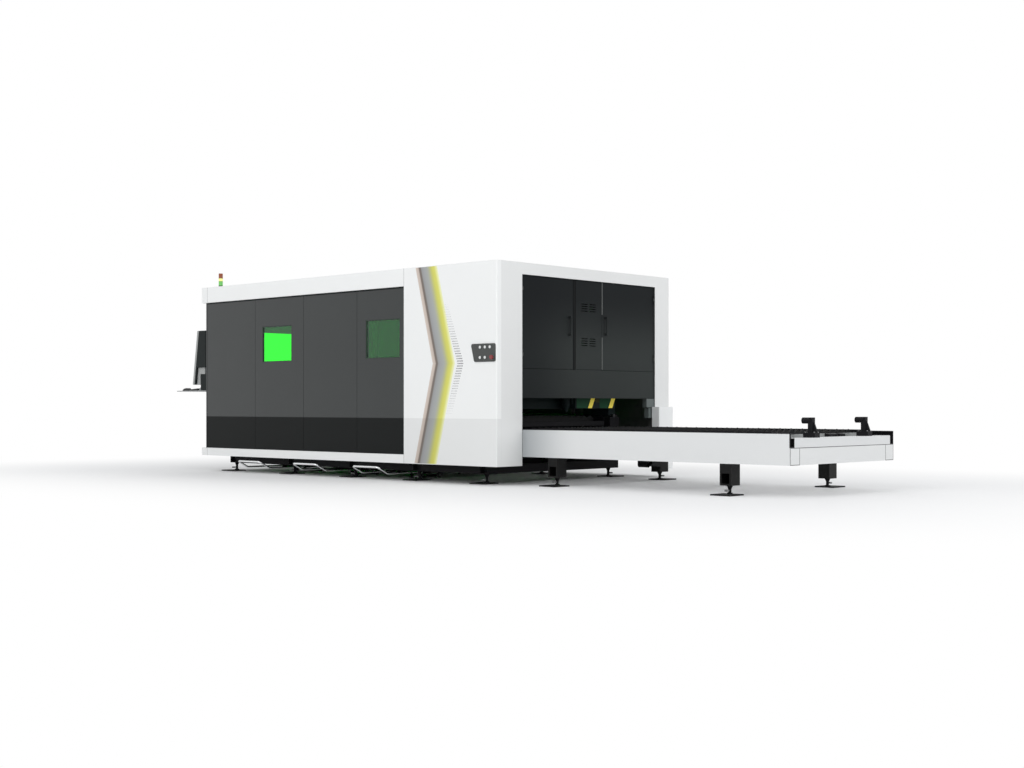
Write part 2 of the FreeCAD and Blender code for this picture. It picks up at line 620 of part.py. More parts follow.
def make_left_door():
    """Door leaf that turns about its outer front edge, beside the near column."""
    leaf = box("left_leaf", (INFILL_BACK, INFILL_FRONT),
               ("near_column + door_gap", "centre_panel_start - door_gap"), (DOOR_LOW, DOOR_TOP))
    handle = make_handle("left_handle", "centre_panel_start - handle_inset", "left_handle_bottom",
                         "door_handle_length")
    return fuse("left_door", [leaf] + handle + door_knuckles("left", LEFT_HINGE_Y))


def make_right_door():
    """Wider door leaf that turns about its outer front edge, beside the far column."""
    leaf = box("right_leaf", (INFILL_BACK, INFILL_FRONT),
               (f"{CENTRE_PANEL_END} + door_gap", f"{OPENING_FAR} - door_gap"),
               (DOOR_LOW, DOOR_TOP))
    handle = make_handle("right_handle", f"{CENTRE_PANEL_END} + handle_inset",
                         "right_handle_bottom", "door_handle_length")
    return fuse("right_door", [leaf] + handle + door_knuckles("right", RIGHT_HINGE_Y))


def make_portal():
    """White front end: a hollow cover with rounded corners and a full-height opening."""
    outside = box("portal_block", ("-portal_length", "0"), ("0", FAR_FACE),
                  ("skirt_bottom", "enclosure_height"))
    outside = rounded("portal_rounded", outside, (EDGE_HIGH_X_LOW_Y, EDGE_HIGH_X_HIGH_Y),
                      "portal_corner_radius")
    hollow = box("portal_hollow", ("-portal_length - 1", "-portal_front_depth"),
                 ("portal_wall", f"{FAR_FACE} - portal_wall"),
                 ("skirt_bottom - 1", "enclosure_height - portal_wall"))
    opening = box("portal_opening", ("-portal_front_depth - 1", "1"),
                  ("near_column", OPENING_FAR), ("skirt_bottom - 1", OPENING_TOP))
    shell = cut("portal_shell", outside, [hollow, opening])
    left, left_bores = frame_knuckles("left", LEFT_HINGE_Y, "near_column - 1")
    right, right_bores = frame_knuckles("right", RIGHT_HINGE_Y, f"{OPENING_FAR} + 1")
    return cut("front_portal", fuse("portal_with_hinges", [shell] + left + right),
               left_bores + right_bores)


def vent_cutters():
    """Rows of short slots: two fields one above the other, each with two columns."""
    slots = []
    for field, bottom in (("upper", "upper_vent_bottom"), ("lower", "lower_vent_bottom")):
        for column in range(2):
            y = f"centre_panel_start + vent_inset + {column} * vent_spacing"
            for row in range(4):
                z = f"{bottom} + {row} * vent_pitch"
                slots.append(box(f"{field}_vent_{column}_{row}",
                                 (f"{INFILL_BACK} - 1", f"{INFILL_FRONT} + 1"),
                                 (y, f"{y} + vent_width"), (z, f"{z} + vent_slot")))
    return slots


def make_end_panel():
    """Fixed T-shaped panel: the strip over the pallet slot and the vented centre part."""
    outline = [("near_column", "slot_top"), (OPENING_FAR, "slot_top"),
               (OPENING_FAR, "door_bottom"), (CENTRE_PANEL_END, "door_bottom"),
               (CENTRE_PANEL_END, OPENING_TOP), ("centre_panel_start", OPENING_TOP),
               ("centre_panel_start", "door_bottom"), ("near_column", "door_bottom")]
    panel = profile("end_panel_sheet", "YZ", outline, INFILL_BACK, INFILL_FRONT)
    return cut("end_panel", panel, vent_cutters())


def make_latch():
    """Pallet lock on the far column: two grey blocks with a slot between them."""
    far = OPENING_FAR
    low = f"{far} - latch_width"
    slot_top = "latch_slot_bottom + latch_slot"
    web = f"{far} - latch_width / 4"
    outline = [(far, "latch_bottom"), (far, "latch_top"), (low, "latch_top"), (low, slot_top),
               (web, slot_top), (web, "latch_slot_bottom"),
               (f"{low} + latch_step", "latch_slot_bottom"), (f"{low} + latch_step", "latch_bottom")]
    return profile("pallet_latch", "YZ", outline, "-latch_setback - latch_depth", "-latch_setback")


def make_drive_cover():
    """White cover over the exchange drive's motor, on the face of the far column."""
    block = box("drive_cover_block", ("0", "cover_depth"),
                (COVER_START, f"{COVER_START} + cover_width"), ("cover_bottom", "cover_top"))
    return rounded("drive_cover", block, (EDGE_HIGH_X_LOW_Y, EDGE_HIGH_X_HIGH_Y), "cover_radius")


# ---------------------------------------------------------------------------------------------
# Exchange table
# ---------------------------------------------------------------------------------------------

def make_leg(name, x, near):
    """A square tube leg, its outer wall notched so that a spanner reaches the foot's nut."""
    half = "leg_length / 2"
    if near:
        outer, inner = TRACK_NEAR, f"({TRACK_NEAR} + leg_width)"
        wall = (f"{outer} - 1", f"{outer} + leg_wall + 1")
        bore = (f"{outer} + leg_wall", f"{inner} - leg_wall")
    else:
        outer = f"(2 * pallet_centre - {TRACK_NEAR})"
        inner = f"({outer} - leg_width)"
        wall = (f"{outer} - leg_wall - 1", f"{outer} + 1")
        bore = (f"{inner} + leg_wall", f"{outer} - leg_wall")
    across = (outer, inner) if near else (inner, outer)
    tube = box(name + "_tube", (f"{x} - {half}", f"{x} + {half}"), across,
               ("leg_bottom", "tube_bottom"))
    hollow = box(name + "_hollow", (f"{x} - {half} + leg_wall", f"{x} + {half} - leg_wall"), bore,
                 ("leg_bottom + leg_wall", "tube_bottom + 1"))
    notch = box(name + "_notch", (f"{x} - {half} + leg_wall + notch_margin",
                                  f"{x} + {half} - leg_wall - notch_margin"), wall,
                ("notch_bottom", "notch_top"))
    return cut(name, tube, [hollow, notch])


def make_table_frame():
    """Two side tubes joined by an end beam and two cross tubes, on four notched legs."""
    near_tube = (TRACK_NEAR, f"{TRACK_NEAR} + tube_size")
    far_tube = mirrored_span(*near_tube)
    between = (f"{near_tube[1]} - 1", f"{far_tube[0]} + 1")
    height = ("tube_bottom", TUBE_TOP)
    solids = []
    hollows = []
    for side, tube in (("near", near_tube), ("far", far_tube)):
        solids.append(box(f"{side}_side_tube", ("track_front", "table_length"), tube, height))
        hollows.append(box(f"{side}_tube_hollow", ("track_front - 1", "table_length - tube_wall"),
                           (f"{tube[0]} + tube_wall", f"{tube[1]} - tube_wall"),
                           ("tube_bottom + tube_wall", f"{TUBE_TOP} - tube_wall")))
    solids.append(box("lower_end_beam", ("table_length - end_beam_depth", "table_length"), between,
                      height))
    low = ("tube_bottom", "tube_bottom + cross_tube_height")
    for name, x in (("front_cross_tube", "first_leg - cross_tube_width / 2"),
                    ("middle_cross_tube", "middle_tube_place")):
        solids.append(box(name, (x, f"{x} + cross_tube_width"), between, low))
    hollowed = cut("table_side_frame", fuse("table_solids", solids), hollows)
    bore = cylinder("shaft_bore", "Y", "shaft_radius + running_clearance",
                    f"{TABLE_FAR} - table_near", "shaft_place", "table_near",
                    "tube_bottom + tube_size / 2")
    drilled = cut("table_side_frame_bored", hollowed, [bore])
    legs = []
    for end in ("first_leg", "last_leg"):
        legs.append(make_leg(f"near_{end}", end, True))
        legs.append(make_leg(f"far_{end}", end, False))
    return fuse("table_frame", [drilled] + legs)


def make_table_end_beam():
    """Upper white beam across the free end, between the two tracks, on the tubes."""
    return box("table_end_beam", ("table_length - end_beam_depth", "table_length"),
               (f"{TRACK_NEAR} + track_width", f"2 * pallet_centre - {TRACK_NEAR} - track_width"),
               (TUBE_TOP, f"{TUBE_TOP} + end_beam_height"))


def make_fascia():
    """White sheet along the viewer's side of the table, over tube and track."""
    return box("table_fascia", ("fascia_start", "table_length - fascia_end"),
               ("table_near", TRACK_NEAR), ("tube_bottom", "fascia_top"))


def make_pallet_stop(name, y):
    """A stop on the end beam: base block, post with a gusset behind and a rubber buffer."""
    bottom = f"({TUBE_TOP} + end_beam_height)"
    top = f"({bottom} + stop_height)"
    base_top = f"({bottom} + stop_base_height)"
    back = "table_length"
    front = f"({back} - stop_base_length)"
    post_front = f"({back} - stop_base_length / 2 - stop_post_length / 2)"
    post_back = f"({post_front} + stop_post_length)"
    base = box(name + "_base", (front, back), (f"{y} - stop_width / 2", f"{y} + stop_width / 2"),
               (bottom, f"{base_top} - stop_gusset"))
    outline = [(post_front, bottom), (post_back, bottom), (post_back, top), (post_front, top)]
    post = profile(name + "_post", "XZ", outline, f"{y} - stop_post_width / 2",
                   f"{y} + stop_post_width / 2")
    web = [(post_front, bottom), (back, bottom), (back, base_top), (post_back, f"{top} - buffer_drop"),
           (post_front, f"{top} - buffer_drop")]
    gusset = profile(name + "_gusset", "XZ", web, f"{y} - stop_gusset", f"{y} + stop_gusset")
    buffer = cylinder(name + "_buffer", "X", "buffer_radius", "buffer_length + stop_post_length / 2",
                      f"{post_front} - buffer_length", y, f"{top} - buffer_radius")
    return fuse(name, [base, post, gusset, buffer])


def make_stops():
    """Two pallet stops, either side of the centre line."""
    return group("pallet_stops", [make_pallet_stop("near_stop", "(pallet_centre - stop_spread)"),
                                  make_pallet_stop("far_stop", "(pallet_centre + stop_spread)")])


def sprocket_shape(y):
    """A toothed disc across y, its teeth straight-sided, centred on the drive shaft."""
    teeth = 16
    outer = number("sprocket_radius")
    root = outer - number("sprocket_thickness")
    centre_x = number("shaft_place")
    centre_z = number("tube_bottom + tube_size / 2")
    corners = []
    for tooth in range(teeth):
        for share, radius in ((0.0, root), (0.25, root), (0.42, outer), (0.83, outer)):
            turn = 2 * math.pi * (tooth + share) / teeth
            corners.append(FreeCAD.Vector(centre_x + radius * math.cos(turn), y,
                                          centre_z + radius * math.sin(turn)))
    face = Part.Face(Part.makePolygon(corners + corners[:1]))
    return face.extrude(FreeCAD.Vector(0, number("sprocket_thickness"), 0))


def make_drive_shaft():
    """Cross shaft with a chain sprocket inside each side tube, turned by the motor's drive."""
    start = f"({TRACK_NEAR} + tube_wall + 1)"
    end = f"({COVER_START} - wheel_seat_gap)"
    bar = cylinder("shaft_bar", "Y", "shaft_radius", f"{end} - {start}", "shaft_place", start,
                   "tube_bottom + tube_size / 2")
    near_y = f"{TRACK_NEAR} + tube_size + sprocket_space"
    far_y = f"2 * pallet_centre - ({near_y}) - sprocket_thickness"
    sprockets = [shaped("near_sprocket", sprocket_shape(number(near_y))),
                 shaped("far_sprocket", sprocket_shape(number(far_y)))]
    return fuse("drive_shaft", [bar] + sprockets)


# ---------------------------------------------------------------------------------------------
# Pallets
# ---------------------------------------------------------------------------------------------

class Pallet:
    """One exchange pallet: its far end along x and the height of its wheels' axles."""

    def __init__(self, name, end, axle):
        self.name = name
        self.end = end
        self.axle = axle
        self.start = f"({end} - pallet_length)"
        self.near = PALLET_NEAR
        self.far = f"(2 * pallet_centre - {PALLET_NEAR})"
        self.bottom = f"({axle} - pallet_below_axle)"
        self.seat = f"({axle} - pallet_below_axle + pallet_member)"
        self.axle_places = {"front": f"({end} - axle_inset)",
                            "rear": f"({self.start} + axle_inset)"}

    def make_frame(self):
        """Ladder frame of square members: edge plates for the slats, a stub axle for each wheel."""
        name = self.name
        height = (self.bottom, self.seat)
        inner = (f"{self.near} + pallet_member", f"{self.far} - pallet_member")
        outside = box(f"{name}_block", (self.start, self.end), (self.near, self.far), height)
        third = f"(({inner[1]}) - ({inner[0]})) / 3"
        bays = []
        for column in range(3):
            low = f"{inner[0]} + {column} * {third}"
            bays.append(box(f"{name}_bay_{column}",
                            (f"{self.start} + pallet_member", f"{self.end} - pallet_member"),
                            (f"{low} + {min(column, 1)} * pallet_member / 2",
                             f"{low} + {third} - {min(2 - column, 1)} * pallet_member / 2"),
                            (f"{self.bottom} - 1", f"{self.seat} + 1")))
        ladder = cut(f"{name}_ladder", outside, bays)
        reach = "pallet_side_clearance + wheel_side_gap + pallet_wheel_width"
        axles = []
        for end, x in self.axle_places.items():
            length = f"{reach} + 1"
            axles.append(cylinder(f"{name}_{end}_near_axle", "Y", "axle_radius", length, x,
                                  f"{self.near} - ({reach})", self.axle))
            axles.append(cylinder(f"{name}_{end}_far_axle", "Y", "axle_radius", length, x,
                                  f"{self.far} - 1", self.axle))
        plates = []
        for side, y in (("near", (self.near, f"{self.near} + edge_plate")),
                        ("far", (f"{self.far} - edge_plate", self.far))):
            plates.append(box(f"{name}_{side}_edge_plate", (self.start, self.end), y,
                              (f"{self.seat} - 1", f"{self.seat} + slat_height - edge_drop")))
        return fuse(f"{name}_frame", [ladder] + axles + plates)

    def make_wheels(self, end):
        """The two track wheels on one pair of stub axles, one each side of the pallet."""
        gap = "(pallet_side_clearance + wheel_side_gap)"
        wheels = []
        for side, y in (("near", f"{self.near} - {gap} - pallet_wheel_width"),
                        ("far", f"{self.far} + {gap}")):
            name = f"{self.name}_{end}_{side}_wheel"
            x = self.axle_places[end]
            tread = cylinder(name + "_tread", "Y", "pallet_wheel_radius", "pallet_wheel_width", x,
                             y, self.axle)
            bore = cylinder(name + "_bore", "Y", "axle_radius + running_clearance",
                            "pallet_wheel_width + 2", x, f"{y} - 1", self.axle)
            wheels.append(cut(name, tread, [bore]))
        return group(f"{self.name}_wheels_{end}", wheels)

    def make_slats(self):
        """Toothed support plates across the frame, a pitch apart and square to its sides."""
        low = number(self.near) + number("slat_end_gap")
        high = number(self.far) - number("slat_end_gap")
        seat = number(self.seat)
        top = seat + number("slat_height")
        valley = top - number("tooth_depth")
        pitch = number("tooth_pitch")
        flat = number("tooth_flat")
        teeth = int((high - low) / pitch)
        first = (low + high - teeth * pitch) / 2
        outline = [(low, seat), (high, seat), (high, valley)]
        for tooth in reversed(range(teeth)):
            middle = first + (tooth + 0.5) * pitch
            outline += [(middle + flat / 2, top), (middle - flat / 2, top)]
            if tooth:
                outline.append((middle - pitch / 2, valley))
        outline.append((low, valley))
        length = number("pallet_length") - 2 * number("pallet_member")
        count = int(length / number("slat_pitch"))
        start = number(self.start) + number("pallet_member")
        first_slat = start + (length - (count - 1) * number("slat_pitch")) / 2
        plates = []
        for index in range(count):
            x = first_slat + index * number("slat_pitch") - number("slat_thickness") / 2
            corners = [FreeCAD.Vector(x, y, z) for y, z in outline + outline[:1]]
            face = Part.Face(Part.makePolygon(corners))
            plates.append(face.extrude(FreeCAD.Vector(number("slat_thickness"), 0, 0)))
        return shaped(f"{self.name}_slats", Part.makeCompound(plates))


def make_pallets():
    """The lower pallet out on the table and the upper one inside the machine."""
    nodes = []
    table_end = "(table_length - pallet_end)"
    for pallet in (Pallet("lower_pallet", table_end, LOWER_AXLE),
                   Pallet("upper_pallet", f"({table_end} - pallet_travel)", UPPER_AXLE)):
        nodes += [pallet.make_frame(), pallet.make_slats(), pallet.make_wheels("front"),
                  pallet.make_wheels("rear")]
    return nodes


# ---------------------------------------------------------------------------------------------
# Gantry
# ---------------------------------------------------------------------------------------------

RAIL_MIDDLE_NEAR = f"({BED_NEAR} + side_box_width / 2)"
RAIL_TOP = f"({RAIL_SEAT} + gantry_rail_height)"
BEAM_TOP = "(beam_bottom + beam_height)"


def make_gantry_rails():
    """A guide rail and a rack along the top of each side box."""
    length = ("-gantry_rail_rear", "-gantry_rail_front")
    half = "gantry_rail_width / 2"
    rail = (f"{RAIL_MIDDLE_NEAR} - {half}", f"{RAIL_MIDDLE_NEAR} + {half}")
    rack = (f"{rail[0]} - rack_space - rack_width", f"{rail[0]} - rack_space")
    pieces = []
    for side, bar, teeth in (("near", rail, rack), ("far", mirrored_span(*rail),
                                                    mirrored_span(*rack))):
        pieces.append(box(f"{side}_gantry_rail", length, bar, (RAIL_SEAT, RAIL_TOP)))
        pieces.append(box(f"{side}_rack", length, teeth, (RAIL_SEAT, f"{RAIL_SEAT} + rack_height")))
    return group("gantry_rails", pieces)


def make_gantry_beam():
    """Chamfered cross beam on two grooved shoes, with a pair of rails on its front face."""
    top = BEAM_TOP
    outline = [(GANTRY_BACK, "beam_bottom"), (GANTRY_FRONT, "beam_bottom"),
               (GANTRY_FRONT, f"{top}"), (f"{GANTRY_BACK} + beam_chamfer", top),
               (GANTRY_BACK, f"{top} - beam_chamfer")]
    far_end = "2 * pallet_centre - beam_end"
    pieces = [profile("gantry_section", "XZ", outline, "beam_end", far_end)]
    half_groove = "(gantry_rail_width / 2 + shoe_groove_gap)"
    for side, middle in (("near", RAIL_MIDDLE_NEAR),
                         ("far", f"(2 * pallet_centre - {RAIL_MIDDLE_NEAR})")):
        bottom = f"{RAIL_TOP} - shoe_skirt"
        inner = f"{RAIL_TOP} + shoe_groove_gap"
        low = f"({middle} - shoe_width / 2)"
        high = f"({middle} + shoe_width / 2)"
        upper = "beam_bottom + 1"
        groove = [(low, bottom), (f"{middle} - {half_groove}", bottom),
                  (f"{middle} - {half_groove}", inner), (f"{middle} + {half_groove}", inner),
                  (f"{middle} + {half_groove}", bottom), (high, bottom), (high, upper), (low, upper)]
        pieces.append(profile(f"{side}_shoe", "YZ", groove, "-gantry_place - shoe_length / 2",
                              "-gantry_place + shoe_length / 2"))
    for level, z in (("low", "beam_bottom + beam_rail_inset"),
                     ("high", f"{top} - beam_rail_inset - beam_rail_width")):
        pieces.append(box(f"{level}_beam_rail", (f"{GANTRY_FRONT} - 1",
                                                 f"{GANTRY_FRONT} + beam_rail_height"),
                          ("beam_end + shoe_width", f"{far_end} - beam_rail_width"),
                          (z, f"{z} + beam_rail_width")))
    return fuse("gantry_beam", pieces)


def make_carriage():
    """Covered carriage that rides along the beam's rails, its front chamfered at the top."""
    front = f"({CARRIAGE_BACK} + carriage_depth)"
    outline = [(CARRIAGE_BACK, "carriage_bottom"), (front, "carriage_bottom"),
               (front, "carriage_top - carriage_chamfer"),
               (f"{front} - carriage_chamfer", "carriage_top"), (CARRIAGE_BACK, "carriage_top")]
    return profile("head_carriage", "XZ", outline, "carriage_start",
                   "carriage_start + carriage_width")


def make_cutting_head():
    """Cutting head on its slide plate: body, collimator cap, cone and nozzle."""
    plate_y = ("carriage_start - head_gap - head_plate", "carriage_start - head_gap")
    middle_x = f"({CARRIAGE_BACK} + carriage_depth / 2)"
    plate = box("head_slide_plate", (f"{middle_x} - head_width / 2", f"{middle_x} + head_width / 2"),
                plate_y, ("head_plate_bottom", "head_plate_top"))
    y = "carriage_start - head_gap - head_offset"
    body = cylinder("head_body", "Z", "head_radius", "head_height", middle_x, y, "head_bottom")
    tip = cone("head_cone", "nozzle_radius", "head_radius", "head_bottom - nozzle_tip", middle_x, y,
               "nozzle_tip")
    return fuse("cutting_head", [plate, body, tip])


# ---------------------------------------------------------------------------------------------
# Operator's console
# ---------------------------------------------------------------------------------------------

def face_x(z):
    """The x of the console's slanted face at height z, from its top and bottom points."""
    slope = "(housing_face_bottom - housing_face_top) / (housing_top - arm_drop_bottom)"
    return f"({MINUS_LENGTH} - housing_face_top - (housing_top - ({z})) * {slope})"


CONSOLE_FAR = "(console_start + console_width)"


def make_console_bracket():
    """Wall plate on the rear rails with two lugs and the fixed pin that the arm turns on."""
    y = CONSOLE_MIDDLE
    wall = f"({MINUS_LENGTH} + rear_setback)"
    half = "arm_neck_width / 2"
    plate = box("bracket_plate", (f"{wall} - wall_plate", wall),
                (f"{y} - console_width / 4", f"{y} + console_width / 4"),
                ("arm_bottom - 3 * lug_thickness", "arm_top + 3 * lug_thickness"))
    pieces = [plate]
    for name, low in (("low", "arm_bottom - lug_gap - lug_thickness"), ("high", "arm_top + lug_gap")):
        lug = (low, f"{low} + lug_thickness")
        pieces.append(box(f"{name}_lug", (PIVOT_X, f"{wall} - 1"), (f"{y} - {half}", f"{y} + {half}"),
                          lug))
        pieces.append(cylinder(f"{name}_lug_end", "Z", half, "lug_thickness", PIVOT_X, y, low))
    pieces.append(cylinder("pivot_pin_bar", "Z", "pivot_pin", "arm_top - arm_bottom + 2 * lug_gap + 2",
                           PIVOT_X, y, "arm_bottom - lug_gap - 1"))
    return fuse("console_bracket", pieces)


def make_console_arm():
    """Light grey arm: a hub, a neck and a broad cranked cradle under the display housing."""
    y = CONSOLE_MIDDLE
    half = "arm_neck_width / 2"
    body_back = f"({MINUS_LENGTH} - arm_body_start)"
    face_top = f"{face_x('arm_top')} + housing_panel + arm_face_gap"
    face_low = f"{face_x('arm_drop_bottom')} + housing_panel + arm_face_gap"
    drop_back = f"{face_low} + arm_drop_length"
    outline = [(face_top, "arm_top"), (body_back, "arm_top"), (body_back, "arm_bottom"),
               (drop_back, "arm_bottom"), (drop_back, "arm_drop_bottom"),
               (face_low, "arm_drop_bottom")]
    cradle = profile("arm_cradle", "XZ", outline, "console_start + arm_side_inset",
                     f"{CONSOLE_FAR} - arm_side_inset")
    neck = box("arm_neck", (f"{body_back} - 1", PIVOT_X), (f"{y} - {half}", f"{y} + {half}"),
               ("arm_bottom", "arm_top"))
    hub = cylinder("arm_hub", "Z", half, "arm_top - arm_bottom", PIVOT_X, y, "arm_bottom")
    bore = cylinder("arm_bore", "Z", "pivot_pin + running_clearance", "arm_top - arm_bottom + 2",
                    PIVOT_X, y, "arm_bottom - 1")
    return cut("console_arm", fuse("arm_solid", [cradle, neck, hub]), [bore])


def make_console_housing():
    """Dark wedge-shaped display housing whose slanted front runs down past the arm."""
    back = f"({MINUS_LENGTH} - housing_back)"
    outline = [(face_x("housing_top"), "housing_top"), (back, "housing_top"), (back, "arm_top"),
               (f"{face_x('arm_top')} + housing_panel", "arm_top"),
               (f"{face_x('arm_drop_bottom')} + housing_panel", "arm_drop_bottom"),
               (face_x("arm_drop_bottom"), "arm_drop_bottom")]
    wedge = profile("housing_wedge", "XZ", outline, "console_start", CONSOLE_FAR)
    window = screen_outline(f"{face_x('screen_bottom')} - 1", f"{face_x('screen_top')} - 1")
    recess = profile("screen_recess", "XZ", window, "console_start + screen_margin",
                     f"{CONSOLE_FAR} - screen_margin")
    return cut("console_housing", wedge, [recess])


def screen_outline(low_x, high_x):
    """The display's section: a thin slanted plate just behind the housing's face."""
    low_back = f"{face_x('screen_bottom')} + screen_thickness"
    high_back = f"{face_x('screen_top')} + screen_thickness"
    return [(low_x, "screen_bottom"), (low_back, "screen_bottom"), (high_back, "screen_top"),
            (high_x, "screen_top")]


def make_screen():
    """Flat display in the housing's recess."""
    section = screen_outline(face_x("screen_bottom") + " + 1", face_x("screen_top") + " + 1")
    return profile("screen", "XZ", section, "console_start + screen_margin",
                   f"{CONSOLE_FAR} - screen_margin")


def make_control_box():
    """Dark box under the arm, behind the cradle."""
    return box("control_box", (f"{MINUS_LENGTH} - box_front", f"{MINUS_LENGTH} - box_back"),
               ("console_start + arm_side_inset", f"{CONSOLE_FAR} - arm_side_inset"),
               ("box_bottom", "arm_bottom"))


def make_keyboard_tray():
    """Thin tray that runs out from under the control box."""
    block = box("keyboard_tray_block", (TRAY_TIP, f"{MINUS_LENGTH} - box_back"),
                ("console_start", CONSOLE_FAR), ("box_bottom - tray_thickness", "box_bottom"))
    return rounded("keyboard_tray", block, (EDGE_LOW_X_LOW_Y, EDGE_LOW_X_HIGH_Y), "handle_bend")


def make_keyboard():
    """Low keyboard on the tray, thicker at its back."""
    back = f"({MINUS_LENGTH} - box_front - keyboard_space)"
    front = f"({back} - keyboard_depth)"
    outline = [(front, "box_bottom"), (back, "box_bottom"), (back, "box_bottom + keyboard_height"),
               (front, "box_bottom + keyboard_height / 2")]
    return profile("keyboard", "XZ", outline, f"{CONSOLE_MIDDLE} - keyboard_width / 2",
                   f"{CONSOLE_MIDDLE} + keyboard_width / 2")


def make_mouse():
    """Mouse in front of the keyboard: a low dome cut flat where it lies on the tray."""
    back = f"({MINUS_LENGTH} - box_front - keyboard_space - keyboard_depth - mouse_space)"
    front = f"({back} - mouse_length)"
    quarter = "mouse_length / 4"
    outline = [(front, "box_bottom"), (back, "box_bottom"),
               (back, "box_bottom + mouse_height / 2"),
               (f"{back} - {quarter}", "box_bottom + mouse_height"),
               (f"{front} + {quarter}", "box_bottom + mouse_height * 3 / 4"),
               (front, "box_bottom + mouse_height / 4")]
    return profile("mouse", "XZ", outline, "console_start + mouse_inset",
                   "console_start + mouse_inset + mouse_width")


# ---------------------------------------------------------------------------------------------
# Push buttons and signal tower
# ---------------------------------------------------------------------------------------------

def button_places():
    """The centre of each push button, as x and z."""
    right = "-button_right"
    upper = [(f"{right} - {step} * button_pitch", "button_row_high") for step in (2, 1, 0)]
    lower = [(f"{right} - {step} * button_pitch", "button_row_low") for step in (2, 1)]
    return upper + lower


def make_button_plate():
    """Dark plate with round corners, narrower at the foot, drilled for the buttons."""
    right = "(-plate_right)"
    top = "plate_bottom + plate_height"
    outline = [(right, "plate_bottom"), (right, top), (f"{right} - plate_top_width", top),
               (f"{right} - plate_bottom_width", "plate_bottom")]
    sheet_metal = profile("button_plate_sheet", "XZ", outline, "-plate_thickness", "0")
    plate = rounded("button_plate_rounded", sheet_metal,
                    edges_along(sheet_metal, FreeCAD.Vector(0, 1, 0)), "plate_corner")
    holes = []
    for index, (x, z) in enumerate(button_places(), start=1):
        holes.append(cylinder(f"button_hole_{index}", "Y", "button_radius + button_clearance",
                              "plate_thickness + 2", x, "-plate_thickness - 1", z))
    holes.append(cylinder("stop_hole", "Y", "stop_stem_radius + button_clearance",
                          "plate_thickness + 2", "-stop_button_place", "-plate_thickness - 1",
                          "button_row_low"))
    return cut("button_plate", plate, holes)


def make_buttons():
    """Five round buttons, each a plain cap in its own hole."""
    caps = []
    for index, (x, z) in enumerate(button_places(), start=1):
        caps.append(cylinder(f"push_button_{index}", "Y", "button_radius",
                             "button_proud + button_seat", x, "-plate_thickness - button_proud", z))
    return caps


def make_emergency_stop():
    """Mushroom head on a stem through the plate."""
    x = "-stop_button_place"
    front = "(-plate_thickness - stop_head_gap - stop_head_height)"
    stem = cylinder("stop_stem", "Y", "stop_stem_radius",
                    "stop_head_height + stop_head_gap + stop_stem_seat", x, front, "button_row_low")
    head = cylinder("stop_head", "Y", "stop_button_radius", "stop_head_height", x, front,
                    "button_row_low")
    return fuse("emergency_stop", [stem, head])


def make_signal_tower():
    """Round base and three stacked lamps."""
    x = f"{MINUS_LENGTH} + tower_rear_inset"
    bottom = "enclosure_height - roof_drop"
    pieces = [cylinder("tower_base", "Z", "tower_base_radius", "tower_base_height", x,
                       "tower_inset", bottom)]
    for index in range(3):
        z = f"{bottom} + tower_base_height + {index} * lamp_height"
        pieces.append(cylinder(f"lamp_{index + 1}", "Z", "lamp_radius", "lamp_height", x,
                               "tower_inset", z))
    return fuse("signal_tower", pieces)


# ---------------------------------------------------------------------------------------------
# Scrap carts
# ---------------------------------------------------------------------------------------------

def bent_tube(points, bend, radius):
    """A round tube along straight runs joined by arcs at every inner point."""
    edges = []
    start = points[0]
    for index in range(1, len(points) - 1):
        corner = points[index]
        back = (points[index - 1] - corner).normalize()
        ahead = (points[index + 1] - corner).normalize()
        half = back.getAngle(ahead) / 2
        setback = bend / math.tan(half)
        first = corner + back * setback
        last = corner + ahead * setback
        bisector = (back + ahead).normalize()
        middle = corner + bisector * (bend / math.sin(half) - bend)
        edges.append(Part.LineSegment(start, first).toShape())
        edges.append(Part.Arc(first, middle, last).toShape())
        start = last
    edges.append(Part.LineSegment(start, points[-1]).toShape())
    ring = Part.Wire(Part.Circle(points[0], points[1] - points[0], radius).toShape())
    return Part.Wire(edges).makePipeShell([ring], True, False)


def cart_middle(index):
    """The x of a cart's middle line, counted from the portal."""
    return f"(-first_cart - {index} * cart_pitch)"


def make_cart(index):
    """A low open tray on wheels, with a tubular pull handle at its front."""
    name = f"cart_{index + 1}"
    middle = cart_middle(index)
    half = "cart_width / 2"
    rear = "(cart_front + cart_length)"
    x = (f"{middle} - {half}", f"{middle} + {half}")
    outside = box(f"{name}_block", x, ("cart_front", rear), ("cart_bottom", "cart_top"))
    inside = box(f"{name}_hollow", (f"{x[0]} + cart_wall", f"{x[1]} - cart_wall"),
                 ("cart_front + cart_wall", f"{rear} - cart_wall"),
                 ("cart_bottom + cart_wall", "cart_top + 1"))
    tray = cut(f"{name}_tray", outside, [inside])
    forks = []
    hole_radius = "cart_axle_radius + running_clearance"
    for end, y in axle_rows().items():
        for side in (-1, 1):
            fork_x = f"{middle} + {side} * ({half} - cart_wheel_inset)"
            fork = box(f"{name}_{end}_fork_{side + 1}",
                       (f"{fork_x} - fork_thickness / 2", f"{fork_x} + fork_thickness / 2"),
                       (f"{y} - cart_wheel_radius / 2", f"{y} + cart_wheel_radius / 2"),
                       ("cart_wheel_radius - cart_axle_radius - 4", "cart_bottom + 1"))
            hole = cylinder(f"{name}_{end}_fork_hole_{side + 1}", "X", hole_radius,
                            "fork_thickness + 2", f"{fork_x} - fork_thickness / 2 - 1", y,
                            "cart_wheel_radius")
            forks.append(cut(f"{name}_{end}_bored_fork_{side + 1}", fork, [hole]))
    return fuse(name, [tray] + forks)


def axle_rows():
    """The y of a cart's front and rear axles."""
    return {"front": "(cart_front + cart_axle_inset)",
            "rear": "(cart_front + cart_length - cart_axle_inset)"}


